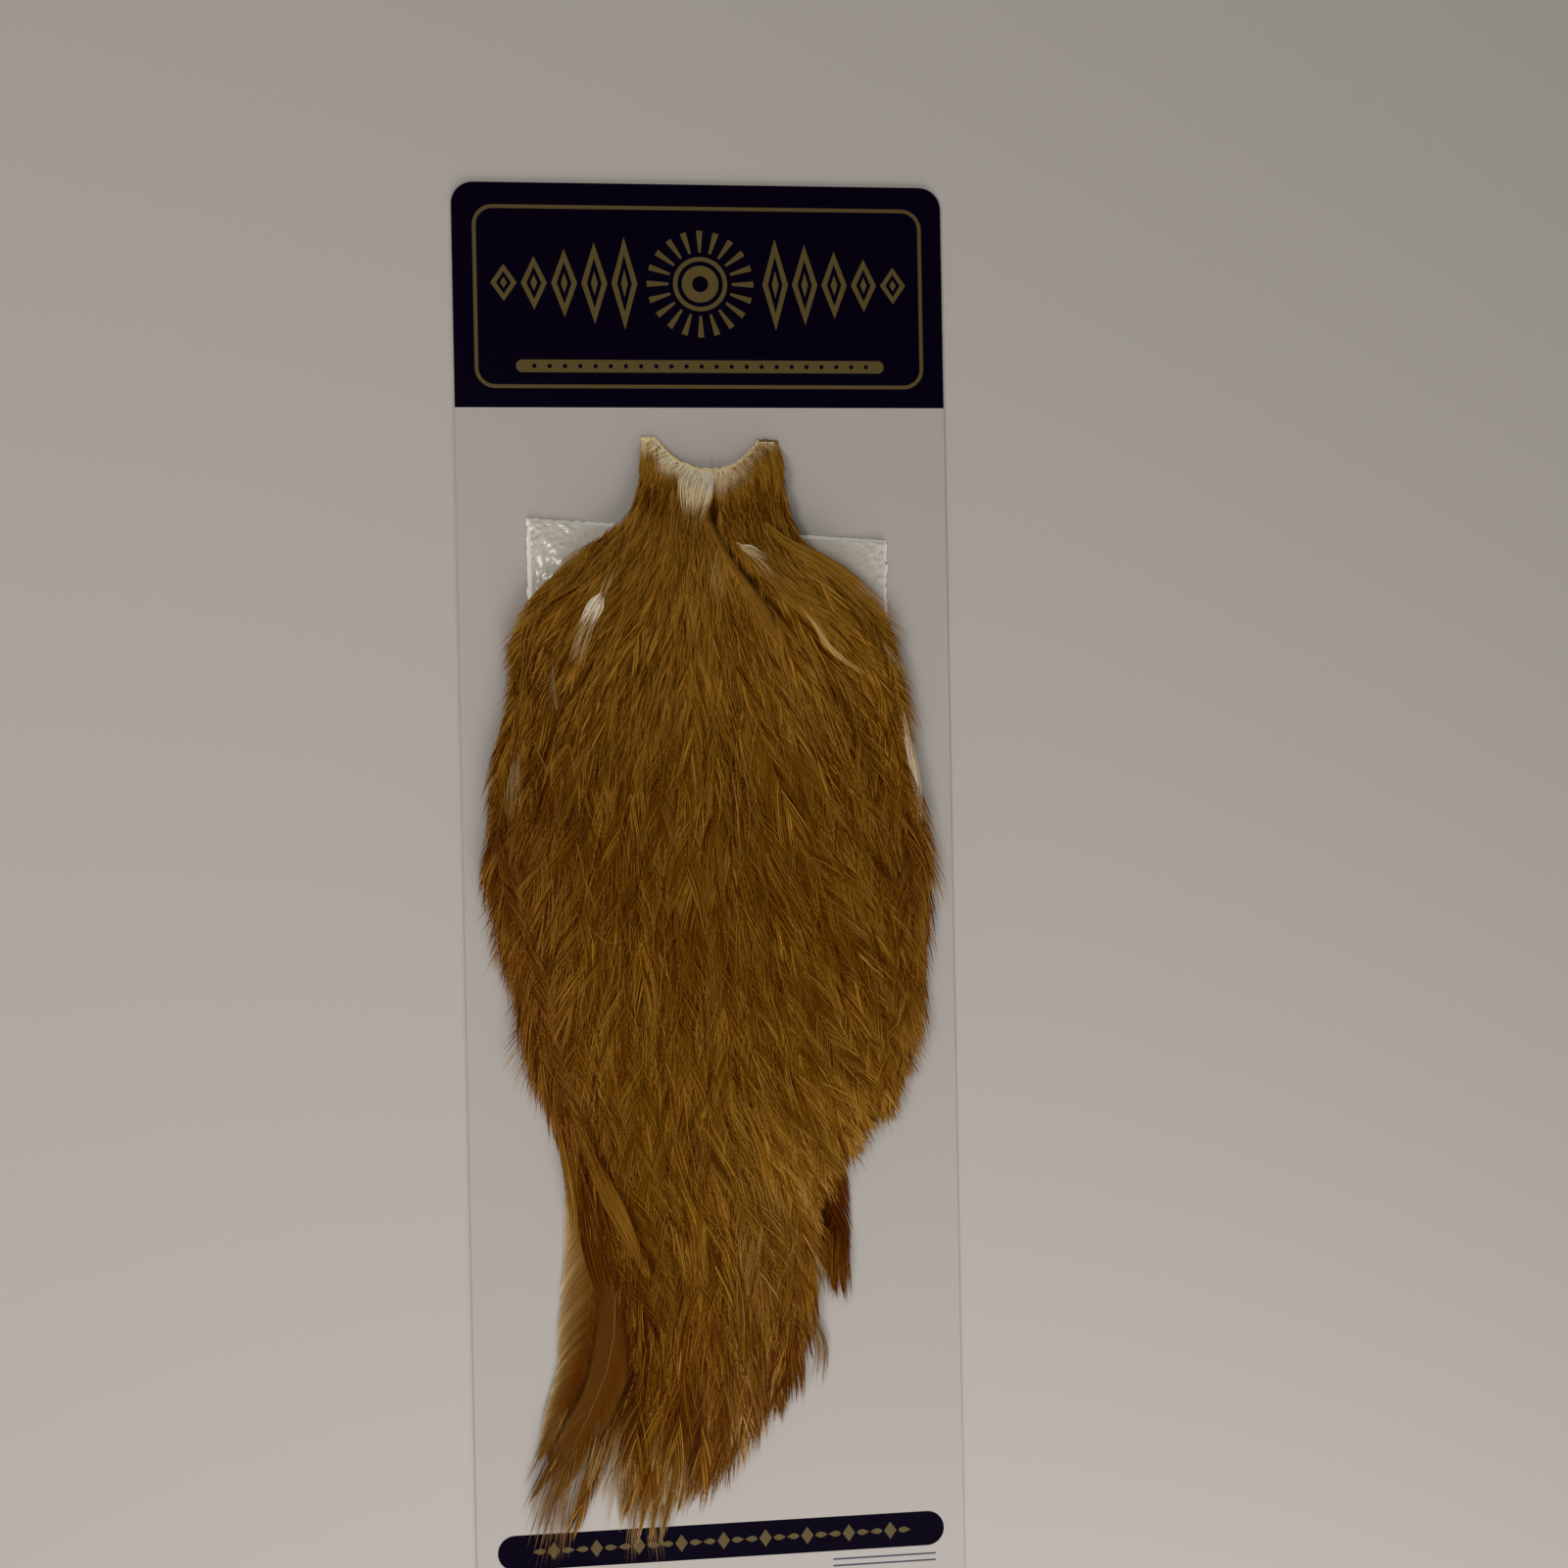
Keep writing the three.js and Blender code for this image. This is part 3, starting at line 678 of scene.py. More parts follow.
def coloured(ribbons):
    """The ribbons with the soft places and bands, the painted light along the cape, and the pale bases along
    the neck, in their colours. Some of the bands are painted shade and painted highlight.
    """
    centres, halves, sides, colours, lights = ribbons
    x, y = centres[..., 0], centres[..., 1]
    for px, py, wide, long, pale, strength in PALE_PLACES:
        near = np.exp(-(((x - px) / wide) ** 2 + ((y - py) / long) ** 2) ** 1.5)
        colours = colours + (pale - colours) * np.clip(near * strength, 0, 1)
    for line, half, place_in_palette, strength, lighter in BANDS:
        near = np.exp(-(beside_line(np.array(line, float), x, y) / half) ** 2)
        colours = colours + (place_in_palette - colours) * near * strength
        lights = lights + lighter * near
    sides_contrast = 1 + 0.3 * smoothstep(np.abs(across_at(x, y)), 0.4, 0.85)
    lights = 0.5 + (lights - 0.5) * sides_contrast + painted_light_at(x, y)
    below = neck_edge(across_at(x, y)) - y
    streaks = 0.7 * np.sin(2.9 * x + 1.3 * np.sin(1.1 * x)) + 0.4 * np.sin(5.3 * x)
    pale = (1 - smoothstep(below + streaks, 2.5, 8.5)) * (0.35 + 0.65 * smoothstep(-x, -18, -4))
    pale = pale * random.uniform(0.5, 1, (len(x), 1))
    colours = colours + (0.94 - colours) * pale
    lights = lights + 0.5 * pale ** 3
    return centres, halves, sides, colours, lights


# Tracts of feathers, as (lowest y, highest y, spacing across, spacing along, length, kind, scale, and
# how high they lie at the root and at the tip)
TRACTS = {
    "tail_feathers": (-122, -84, 4.2, 4.4, 34, BODY, 1.1, -1.4, 0.3),
    "saddle_feathers": (-84, -30, 4.2, 4.6, 36, BODY, 1.05, -1.4, 0.3),
    "back_feathers": (-30, 22, 4.4, 4.6, 34, BODY, 1.0, -1.4, 0.3),
    "mantle_feathers": (22, 72, 4.4, 4.6, 32, BODY, 0.95, -1.4, 0.3),
    "shoulder_feathers": (72, 108, 3.9, 4.0, 24, BODY, 0.8, -1.3, 0.3),
    "neck_feathers": (106, 134, 2.0, 2.2, 13, NECK, 1.0, -0.9, 0.4),
    "upper_tail_feathers": (-112, -70, 6.6, 7.4, 38, UPPER, 1.05, -0.4, 0.8),
    "upper_back_feathers": (-70, 20, 6.8, 7.6, 40, UPPER, 1.0, -0.4, 0.8),
    "upper_mantle_feathers": (20, 84, 6.6, 7, 36, UPPER, 0.9, -0.4, 0.8),
    "upper_shoulder_feathers": (84, 112, 5, 5.4, 24, UPPER, 0.6, -0.4, 0.7),
    "fan_tips": (-80, 70, 9, 9, 24, TIPPED, 1.0, 0.1, 1.5),
}
# In tracts that start below the first height, shafts are short enough to end above the second. Feathers
# are left out where less than a share of their length would stay inside the outline.
TAIL_TRACTS_Y, TAIL_FOOT_Y = -100, -150
LEAST_KEPT = 0.3


def starts_in(low, high, wide, deep):
    """Places for feathers to start at, in staggered rows inside the outline."""
    xs, ys = [], []
    for row, y in enumerate(np.arange(low, high, deep)):
        left, right = left_edge(y) + 1.0, right_edge(y) - 1.0
        count = max(int((right - left) / wide), 2)
        xs.append(left + (np.arange(count) + 0.25 + 0.5 * (row % 2)) * (right - left) / count)
        ys.append(np.full(count, y))
    x, y = np.concatenate(xs), np.concatenate(ys)
    x = x + scatter(wide * 0.22, len(x))
    y = y + scatter(deep * 0.3, len(y))
    inside = (y < neck_edge(across_at(x, y)) - 0.6) & (x > left_edge(y) + 0.8) & (x < right_edge(y) - 0.8)
    return x[inside], y[inside]


def feather_pieces(name, lines, lift, tint, kind, scale=1.0, ground=None, nodes=("feathered_skin",),
                   slot="ginger_feather", light=0.0, shaft=0.11, shaft_tint=0.0):
    """The barbs and the shafts of some feathers, as two pieces in place of nodes of the frame."""
    barbs = coloured(barbs_on(lines, lift, tint, kind, ground, scale, light))
    shafts = shafts_on(lines, lift, np.asarray(tint) + shaft_tint, shaft, ground, 0.06 + np.mean(light))
    ribbon_piece(name, barbs, slot, nodes)
    ribbon_piece(name + "_shafts", coloured(shafts), slot, nodes)


def tract(name, low, high, wide, deep, length, kind, scale, low_lift, high_lift):
    """A field of feathers that lie over each other like tiles, each a little higher towards its tip."""
    x, y = starts_in(low, high, wide, deep)
    n = len(x)
    reach = length * random.uniform(0.85, 1.15, n)
    if low < TAIL_TRACTS_Y:
        reach = np.minimum(reach, (y - TAIL_FOOT_Y) * 0.9)
    lines = grown_down(x, y, reach, scatter(np.radians(4), n),
                       overhang=9 * scale * random.uniform(0.7, 1.9, n))
    kept = np.linalg.norm(np.diff(lines, axis=1), axis=-1).sum(1) / reach
    lines, kept, x, y = (values[kept > LEAST_KEPT] for values in (lines, kept, x, y))
    n = len(x)
    scale = scale * (0.45 + 0.55 * kept)
    tint = tint_at(x, y) + scatter(0.014, n)
    up = scatter(0.32, (n, 1))
    feather_pieces(name, lines, lambda t: low_lift + (high_lift - low_lift) * t + up, tint, kind,
                   scale * random.uniform(0.85, 1.15, n), light=scatter(0.035, n))


# The layers of feathers at the tail's points, with how far before the points their shafts end, and those
# at the lower right edge, with the same and how high they lie
TAIL_LAYERS = (("tail_ends", 5.0), ("tail_ends_behind", 11.0), ("tail_ends_far_behind", 18.0))
TAIL_LENGTH = 32.0
SIDE_LAYERS = (("side_tips", 6.0, 0.7), ("side_tips_between", 9.0, 0.2), ("side_tips_below", 7.0, -1.2))


def tail_ends():
    """The long feathers that end the cape in separate points, three behind each other at each point."""
    tips = np.array(TAIL_TIPS)
    n = len(tips)
    for name, back in TAIL_LAYERS:
        whole = TAIL_LENGTH + back
        lines = grown_to(tips[:, 0], tips[:, 1], np.full(n, whole), scatter(np.radians(3), n))
        ends = along_lines(lines, np.linspace(0, TAIL_LENGTH / whole, 11)[None].repeat(n, 0))[0]
        ends = ends + scatter(np.array([0.8, 0.5]), (n, 1, 2))
        tint = tint_at(ends[:, -1, 0], ends[:, -1, 1]) + 0.02 + scatter(0.015, n)
        up = random.uniform(0.1, 0.9, (n, 1)) - 0.02 * back
        feather_pieces(name, ends, lambda t: 0.1 - 0.3 * (1 - t) + up, tint, TAIL, tips[:, 2] / 2.4,
                       light=scatter(0.05, n))


def notch_fan(across, degrees):
    """How far feathers at the neck's edge turn away from the notch between the horns."""
    return np.radians(degrees) * np.sin(np.pi * across / 1.5) * (np.abs(across) < 0.75)


def rim_feathers():
    """Short feathers that grow all along the neck's edge."""
    n = RIM_FEATHERS
    across = np.linspace(-0.98, 0.98, n) + scatter(0.004, n)
    y = neck_edge(across) - random.uniform(0.1, 0.8, n)
    x = x_across(across, y)
    lines = grown_down(x, y, random.uniform(7, 12, n), notch_fan(across, 10), clear=0.6)
    up = scatter(0.15, (n, 1))
    feather_pieces("rim_feathers", lines, lambda t: 0.1 + 0.5 * t + up, tint_at(x, y), SHORT)


def outline_feathers():
    """Small feathers all along both sides of the cape, which hide its wall and fray its outline."""
    on_left, on_right = OUTLINE_FEATHERS
    n = on_left + on_right
    y = np.concatenate([np.linspace(-70, 132.5, on_left), np.linspace(-14, 132.5, on_right)])
    right = np.arange(n) >= on_left
    for name, low in (("outline_feathers", -1.0), ("outline_feathers_below", -2.8)):
        x = near_edge(right, y, random.uniform(0.8, 2.2, n))
        outwards = np.where(right, 1, -1) * np.radians(random.uniform(-4, 4, n))
        lines = grown_down(x, y, random.uniform(9, 16, n), outwards, clear=0.5)
        up = scatter(0.3, (n, 1))
        feather_pieces(name, lines, lambda t: low + 0.6 * t + up, tint_at(x, y) - 0.01, SHORT, 1.3)


def side_tips():
    """Feathers whose tips make the lower right edge of the cape, in three layers."""
    n = SIDE_FEATHERS
    for name, back, over in SIDE_LAYERS:
        y = np.linspace(-108, -42, n) + scatter(0.6, n)
        x = right_edge(y) + scatter(0.9, n) - 0.4
        whole = random.uniform(22, 30, n)
        lines = grown_to(x, y, whole, scatter(np.radians(4), n))
        ends = along_lines(lines, np.linspace(0, 1, 9) * ((whole - back) / whole)[:, None])[0]
        up = over + scatter(0.3, (n, 1))
        feather_pieces(name, ends, lambda t: up - 0.5 * (1 - t), tint_at(x, y) + scatter(0.02, n),
                       FRINGE, 0.9, light=scatter(0.06, n))


def flap_edge():
    """Feathers along the flap's line, whose edge covers the feathers under it."""
    n = FLAP_FEATHERS
    share = np.linspace(0, 1, n)
    line = curve_through(FLAP_LINE, n - 1)
    x = line[:, 0] + 0.7 + random.uniform(0, 3, n)
    y = line[:, 1] + 0.7 + random.uniform(0, 3, n)
    reach = 14 + 8 * share + scatter(3, n)
    lines = grown_down(x, y, reach, scatter(np.radians(3), n))
    feather_pieces("flap_edge", lines, lambda t: 0.2 + 0.5 * t, tint_at(x, y) - 0.01, EDGE, 0.8)


def strands(lines, over, tint, light, half, on_flap, land=0.0, curl=0.0, fade=0.0):
    """Single loose barbs along lines (n, k, 2), as the arguments of ribbon_mesh. over is how high they
    lie over the surface, land how far their ends come down to the card (0 to 1), curl how far they bow,
    and fade how much their ends' tints differ."""
    n, k, _ = lines.shape
    t = np.linspace(0, 1, k)
    bow = curl * random.normal(size=(n, 1)).clip(-1.3, 1.3) * np.sin(np.pi * t)
    flat = lines + bow[..., None] * beside(unit(lines[:, -1] - lines[:, 0]))[:, None]
    over, tint, light, on_flap = columns_of(n, over, tint, light, on_flap)
    high = surface(flat[..., 0], flat[..., 1], on_flap) + over - 0.5 * (1 - np.sin(np.pi * t))
    down = land * smoothstep(t, 0.1, 0.9)
    z = high * (1 - down) + (CARD_THICKNESS + 0.3 + 0.5 * random.random((n, 1))) * down
    centres = over_card(flat, z)
    thick = half * (1 + scatter(0.25, (n, 1))).clip(0.5, 1.7)
    halves = thick * np.interp(t, (0, 0.3, 0.7, 1), (0.5, 1, 0.8, 0))
    sides = sides_of(centres, scatter(0.3, n))
    return centres, halves, sides, tint + fade * t ** 2, light + 0.06 * np.linspace(-1, 1, k)


def loose_strands():
    """Barbs that lie loose over the others all over the cape, some bright and some dark."""
    n = LOOSE_BARBS
    y = random.uniform(-112, 124, n)
    x = left_edge(y) + 1.5 + (right_edge(y) - left_edge(y) - 3) * random.random(n)
    reach = random.uniform(12, 30, n) * np.where(y > 95, 0.45, 1)
    lines = grown_down(x, y, reach, scatter(np.radians(6), n), steps=6, overhang=0.5)
    light = 0.5 + np.where(random.random(n) < 0.48, 1, -1.25) * random.uniform(0.12, 0.54, n)
    made = strands(lines, random.uniform(0.3, 1.2, n), tint_at(x, y) + scatter(0.02, n), light,
                   0.07, on_the_flap(lines)[:, 0], curl=0.9)
    ribbon_piece("loose_barbs", coloured(made))


def outline_hairs():
    """Fine hairs that stand out past the outline."""
    n = 2 * HAIRS_A_SIDE
    y = np.concatenate([random.uniform(low, 112, HAIRS_A_SIDE) for low in (-96, -118)])
    side = np.repeat([-1, 1], HAIRS_A_SIDE)
    x = near_edge(side > 0, y, random.uniform(1, 4, n))
    angle = combed(x, y) + side * np.radians(random.uniform(2, 20, n))
    reach = random.uniform(2.5, 6, n) * np.where(y < -25, 0.6, 1)
    lines = straight_lines(x, y, angle, reach, 4)
    made = strands(lines, random.uniform(-2.5, 0.2, n), tint_at(x, y) + 0.03, random.uniform(0.3, 0.7, n),
                   0.07, 0, land=0.3, curl=0.25)
    ribbon_piece("outline_hairs", coloured(made))


# Bundles of loose barbs: the line, how many, how far they spread at the root, middle and tip, palette
# place, lightness, half a barb's width, height over the surface, and how far the ends come down
PALE_TUFTS = (
    ([(-27.6, 91.4), (-29.8, 87.4), (-33, 81.4)], 44, (0.4, 1.2, 1.4), 0.94, 0.54, 0.045, 1.3, 0),
    ([(-30.4, 86), (-33.2, 79.4), (-35.6, 72.4)], 24, (0.8, 1.1, 1.4), 0.82, 0.4, 0.04, 1.3, 0),
    ([(-25, 98), (-27, 93), (-29, 88)], 8, (0.3, 0.6, 1.0), 0.78, 0.46, 0.045, 1.3, 0),
    ([(52.2, 58), (54.2, 48), (55.8, 39), (57, 28)], 44, (0.4, 0.8, 0.7), 0.92, 0.46, 0.05, 0.6, 0),
    ([(7.6, 104), (11.3, 101.6), (16.2, 99.4)], 24, (0.2, 0.6, 1.2), 0.86, 0.42, 0.045, 1.9, 0),
    ([(9, 102.4), (13.3, 98.8), (18, 93.6)], 22, (0.3, 0.8, 1.2), 0.72, 0.4, 0.045, 1.9, 0),
)
PALE_WISPS = (
    ([(-41.6, 75), (-41.5, 67), (-40.4, 59)], 9, (0.3, 0.5, 0.6), 0.78, 0.46, 0.045, 1.2, 0),
    ([(-47.7, 55.9), (-44.6, 48), (-40.8, 40.8)], 6, (0.3, 0.5, 0.6), 0.74, 0.46, 0.045, 1.2, 0),
    ([(-51.2, 50), (-52.4, 40), (-52, 29)], 16, (0.3, 1.2, 1.9), 0.8, 0.46, 0.045, 1.2, 0),
    ([(51, 64), (53.2, 54), (54.6, 44)], 12, (0.3, 0.6, 0.8), 0.84, 0.46, 0.045, 0.5, 0),
    ([(0.6, 103), (2.6, 96), (3.4, 88)], 16, (0.6, 1.1, 1.3), 0.68, 0.4, 0.045, 1.3, 0),
    ([(44, 80), (49.4, 74.5), (54, 67)], 9, (0.4, 0.7, 1.0), 0.82, 0.46, 0.045, 0.8, 0),
)
WHITE_NECK_TUFTS = (
    ([(-3.2, 124.4), (-5.4, 119.6), (-6.2, 113.4)], 60, (1.2, 1.2, 1.0), 0.95, 0.62, 0.055, 1.1, 0),
    ([(-1.4, 124.6), (-3.4, 119), (-4.2, 110.4)], 120, (1.7, 1.6, 1.1), 0.98, 0.98, 0.06, 1.2, 0),
    ([(1.6, 124.6), (0.2, 119), (-2.2, 109.4)], 70, (0.7, 0.9, 1.0), 0.98, 0.92, 0.055, 1.2, 0),
    ([(4.6, 123.6), (5, 119.5), (5.6, 115)], 22, (1.8, 1.8, 1.8), 0.88, 0.34, 0.05, 0.5, 0),
)
GOLD_STRANDS = (
    # Golden strands along the ridge, painted bright as the highlight on its lit bank
    (RIDGE, 150, (0.5, 0.8, 1.2), 0.45, 1.0, 0.06, 1.5, 0),
    ([(15.6, 110), (21.3, 104.4), (30.1, 99.8), (39, 93.4), (51, 81)],
     170, (0.5, 1.3, 2.4), 0.53, 0.7, 0.07, 1.2, 0),
    ([(15.6, 95.2), (20.4, 90.6), (27.4, 83.6)], 60, (0.4, 0.8, 0.7), 0.57, 0.6, 0.07, 1.5, 0),
    ([(-38.6, -44), (-35.4, -54.7), (-31.6, -64.6), (-28.4, -72), (-25, -79), (-22.5, -85), (-19.6, -92)],
     200, (1.0, 1.1, 0.2), 0.49, 0.58, 0.07, 1.6, 0),
    ([(-32.6, -58), (-29.2, -66), (-25.8, -73.5), (-22.8, -80), (-20.2, -88)],
     60, (0.3, 0.8, 0.2), 0.52, 0.74, 0.06, 1.7, 0),
    ([(-43, -42), (-40.6, -54), (-38.4, -66), (-37.6, -76), (-38.2, -84)],
     90, (1.2, 1.5, 1.0), 0.58, 0.4, 0.08, 0.6, 0),
    ([(-37.6, -56), (-35.6, -70), (-34.2, -82), (-31.6, -94), (-29.6, -101)],
     190, (1.2, 1.9, 1.3), 0.46, 0.16, 0.08, 1.0, 0.3),
    ([(-33.4, -60), (-31.4, -74), (-28.6, -86), (-25.6, -97)],
     120, (1.0, 1.5, 1.2), 0.46, 0.16, 0.08, 1.1, 0),
    ([(-39, -53.5), (-34.9, -67.4), (-32.6, -76.3), (-32.4, -79.7)],
     4, (0.1, 0.1, 0.1), 0.64, 0.45, 0.05, 1.6, 0),
)
DARK_TUFTS = (
    ([(-42, -126), (-46.6, -135), (-51.7, -146)], 7, (1.2, 1.2, 1.6), 0.63, 0.46, 0.08, 0.6, 1),
    ([(-42.5, -131), (-48, -141), (-52.6, -151)], 9, (1.3, 1.2, 1.6), 0.63, 0.46, 0.08, 0.6, 1),
    ([(-42.5, -136), (-48.4, -146.5), (-53, -157)], 11, (1.4, 1.3, 1.7), 0.64, 0.5, 0.08, 0.7, 1),
    ([(-42, -137), (-48, -149), (-53, -163)], 14, (1.5, 1.5, 1.8), 0.65, 0.54, 0.08, 0.7, 1),
    ([(-40.6, -137), (-47, -152), (-51.8, -168)], 15, (1.6, 1.6, 1.8), 0.65, 0.58, 0.08, 0.8, 1),
    ([(-39.4, -136), (-45.4, -154), (-50, -171.4)], 15, (1.6, 1.6, 1.7), 0.65, 0.58, 0.08, 0.8, 1),
    ([(-38.4, -136), (-43.6, -154), (-46.4, -171)], 14, (1.6, 1.4, 1.4), 0.65, 0.58, 0.08, 0.8, 1),
    ([(-37, -136), (-41.4, -153), (-43.2, -168.5)], 14, (1.5, 1.2, 0.8), 0.65, 0.58, 0.08, 0.8, 1),
)
SIDE_WISPS = (
    ([(-34, -134), (-37, -146), (-40.4, -159)], 20, (1.6, 1.3, 0.8), 0.68, 0.62, 0.08, 1.0, 1),
    ([(-31.4, -133), (-34.4, -145), (-37.8, -158)], 19, (1.6, 1.3, 0.8), 0.69, 0.66, 0.08, 1.0, 1),
    ([(-29, -132), (-32, -144), (-35.6, -157)], 12, (1.2, 1.1, 1.2), 0.72, 0.72, 0.075, 1.0, 1),
    ([(-26.6, -132), (-29.8, -145), (-32.8, -157.4)], 8, (0.8, 1.0, 1.2), 0.72, 0.7, 0.07, 0.8, 1),
    ([(-25.8, -134), (-29, -148), (-32, -162.5)], 8, (0.8, 1.0, 1.2), 0.72, 0.7, 0.07, 0.8, 1),
    ([(-25.4, -136), (-26.8, -149), (-27.9, -162)], 44, (0.9, 1.4, 0.2), 0.73, 0.66, 0.055, 0.9, 1),
    ([(-24.4, -142), (-24.6, -152), (-24.6, -162)], 36, (1.2, 1.3, 0.5), 0.7, 0.64, 0.05, 1.0, 1),
    ([(-23, -150), (-24.4, -161), (-25.4, -171.6)], 18, (1.0, 1.2, 1.4), 0.7, 0.6, 0.045, 0.8, 1),
    ([(-19.6, -150), (-19, -161), (-18, -172.4)], 22, (1.2, 1.4, 1.6), 0.69, 0.6, 0.045, 0.8, 1),
    ([(-15, -146), (-15.6, -154), (-15.9, -164)], 30, (1.4, 1.5, 0.4), 0.69, 0.66, 0.05, 1.0, 1),
    ([(-9, -142), (-10.2, -150), (-10.7, -160)], 30, (1.4, 1.5, 0.4), 0.69, 0.66, 0.05, 1.0, 1),
    ([(-4.4, -140), (-5.6, -148), (-6, -157)], 26, (1.3, 1.4, 0.4), 0.7, 0.66, 0.05, 1.0, 1),
    ([(-1, -136), (-2.2, -144), (-2.9, -154)], 26, (1.3, 1.3, 0.4), 0.69, 0.66, 0.05, 1.0, 1),
    ([(8.6, -128), (9.4, -135), (9.9, -144)], 28, (1.2, 1.1, 0.3), 0.72, 0.66, 0.045, 0.9, 1),
    ([(15, -120), (15.8, -127), (16.4, -136)], 26, (1.3, 1.2, 0.4), 0.7, 0.66, 0.045, 0.9, 1),
    ([(22.8, -101), (27.6, -114), (26.8, -126)], 30, (0.7, 1.3, 1.7), 0.7, 0.6, 0.07, 0.6, 1),
    ([(20.6, -110), (22, -120), (22.6, -131)], 24, (0.7, 0.8, 0.25), 0.68, 0.6, 0.05, 0.6, 1),
)
RUSSET_TIPS = (
    ([(29, -80), (28.6, -91), (28.8, -102)], 40, (1.4, 1.6, 1.6), 0.52, 0.4, 0.07, 0.4, 0.7),
    ([(31.6, -82), (31.8, -92), (32.4, -103)], 40, (1.4, 1.6, 1.6), 0.48, 0.36, 0.07, 0.5, 0.7),
    ([(33.6, -82), (34.4, -92), (35.6, -103.5)], 34, (1.2, 1.1, 0.9), 0.44, 0.34, 0.07, 0.4, 0.7),
)


def bundle_piece(name, bundles, node="feathered_skin", curl=0.3, vary=0.02, contrast=0.16, fade=0.0,
                 locks=0, shortest=0.75):
    """Bundles of loose barbs as one piece. vary and contrast are how much their tints and lights differ.
    locks gathers each bundle's barbs in about twice so many locks. shortest is the share of the line
    that the shortest barbs reach."""
    parts = []
    for points, count, spreads, tint, light, half, over, land in bundles:
        middle = curve_through(points, 7)
        first = random.uniform(0, 0.25, (count, 1))
        last = random.uniform(shortest, 1.06, (count, 1))
        t = first + (last - first) * np.linspace(0, 1, 8)
        lines, way = along_lines(middle[None].repeat(count, 0), np.minimum(t, 1))
        lines = lines + way * (np.maximum(t - 1, 0) * 20)[..., None]
        aside = random.uniform(-1, 1, (count, 1))
        if locks:
            aside = np.round(aside * locks) / locks + scatter(0.07, (count, 1))
        out = np.interp(t, (0, 0.5, 1), spreads) * 1.5 * aside
        lines = lines + out[..., None] * beside(way)
        # The bundle's lightness takes the painted light at its second point
        glow = light + scatter(contrast, count) + painted_light_at(*points[1])
        pale = tint + scatter(vary, count)
        on_flap = on_the_flap(np.array([points], float))[0, 0]
        high = over + scatter(0.25, count)
        parts.append(strands(lines, high, pale, glow, half, on_flap, land, curl, fade))
    made = tuple(np.concatenate([part[i] for part in parts]) for i in range(5))
    ribbon_piece(name, made, nodes=(node,))


def notch_tufts():
    """Short pale tufts that fan out from the neck's edge."""
    middle = np.repeat(np.linspace(-0.84, 0.9, NOTCH_TUFTS) + scatter(0.012, NOTCH_TUFTS), BARBS_A_TUFT)
    n = len(middle)
    start = middle + scatter(0.008, n)
    y = neck_edge(start) - 0.5
    x = x_across(start, y)
    fan = np.radians(46) * np.clip((middle - NOTCH_MIDDLE) / 0.5, -1, 1)
    fan = fan * (1 - smoothstep(np.abs(middle), 0.75, 0.95))
    fan = fan - np.radians(12) + scatter(np.radians(9), n)
    reach = random.uniform(2.6, 5.4, n) * (1 - 0.3 * smoothstep(middle, 0.3, 0.7))
    lines = straight_lines(x, y, fan, reach, 6)
    pale = 0.96 - 0.1 * smoothstep(middle, -0.1, 0.5) - 0.05 * smoothstep(-middle, 0.6, 0.8)
    pale = pale + scatter(0.02, n)
    light = 1.04 - 0.36 * smoothstep(middle, 0.1, 0.7) - 0.15 * smoothstep(-middle, 0.6, 0.8)
    light = light + scatter(0.24, n)
    made = strands(lines, random.uniform(0.4, 1.1, n), pale, light, 0.06, 0, curl=0.25, fade=-0.14)
    ribbon_piece("notch_tufts", made)


# The first of the stray hairs is dark
STRAY_HAIRS = (
    [(2.6, 123.4), (2.2, 126.5), (1.4, 129)],
    [(-33, 3.3), (-28, -1.2), (-21.6, 0.4)],
    [(-22.8, 4.3), (-21.4, 2.4), (-21.6, 0.4)],
    [(2, 92), (3.4, 86), (2.2, 79)],
)


def quills():
    """The feathers' quills in a row under the neck's edge, and a few stray hairs."""
    n = QUILLS
    across = np.linspace(-0.93, 0.93, n) + scatter(0.02, n)
    y = neck_edge(across) - 0.5
    x = x_across(across, y)
    lines = grown_down(x, y, random.uniform(1.4, 3.0, n), notch_fan(across, 26), steps=5)
    made = strands(lines, 0.7, 0.62, random.uniform(0.2, 0.6, n), 0.1, 0, curl=0.1)
    ribbon_piece("quills", made)
    stray = np.array([curve_through(points, 5) for points in STRAY_HAIRS])
    made = strands(stray, 1.5, 0.62, [0.1] + [0.75] * (len(stray) - 1), 0.08, 0)
    ribbon_piece("stray_hairs", made)


# The long feathers at the lower left, as (name, node, shaft, kind, scale, lift, tint and light), and the
# shafts of the two on the right
LONG_FEATHERS = (
    ("lower_left_satin", "lower_left_hackle_1",
     [(-35, -64), (-34.4, -74), (-34.2, -84), (-34.6, -96), (-36.4, -110), (-39, -119), (-43.2, -128.5),
      (-47.2, -139.4)], SATIN, 0.95, 0.2, 0.7, -0.06),
    ("lower_left_dark", "lower_left_hackle_2",
     [(-31.3, -76.9), (-29.5, -84.9), (-28.1, -96.8), (-28.6, -108), (-30.8, -118), (-35.7, -129.1),
      (-39.3, -136.1), (-43, -142.5)], WISPY, 1.0, 1.0, 0.67, -0.4),
    ("lower_left_inner", "lower_left_hackle_3",
     [(-20.5, -110), (-24.5, -121), (-30.4, -135), (-36.5, -150.5), (-38.4, -155)], INNER, 1.0, 0.4, 0.56,
     -0.08),
)
RUSSET_SHAFT = [(31, -60), (31.6, -74), (31.8, -84), (32.4, -92)]
SLIPPED_SHAFT = [(24, 87.4), (27.9, 82.6), (30.5, 78.4), (34.4, 74.2), (39.4, 70.4)]


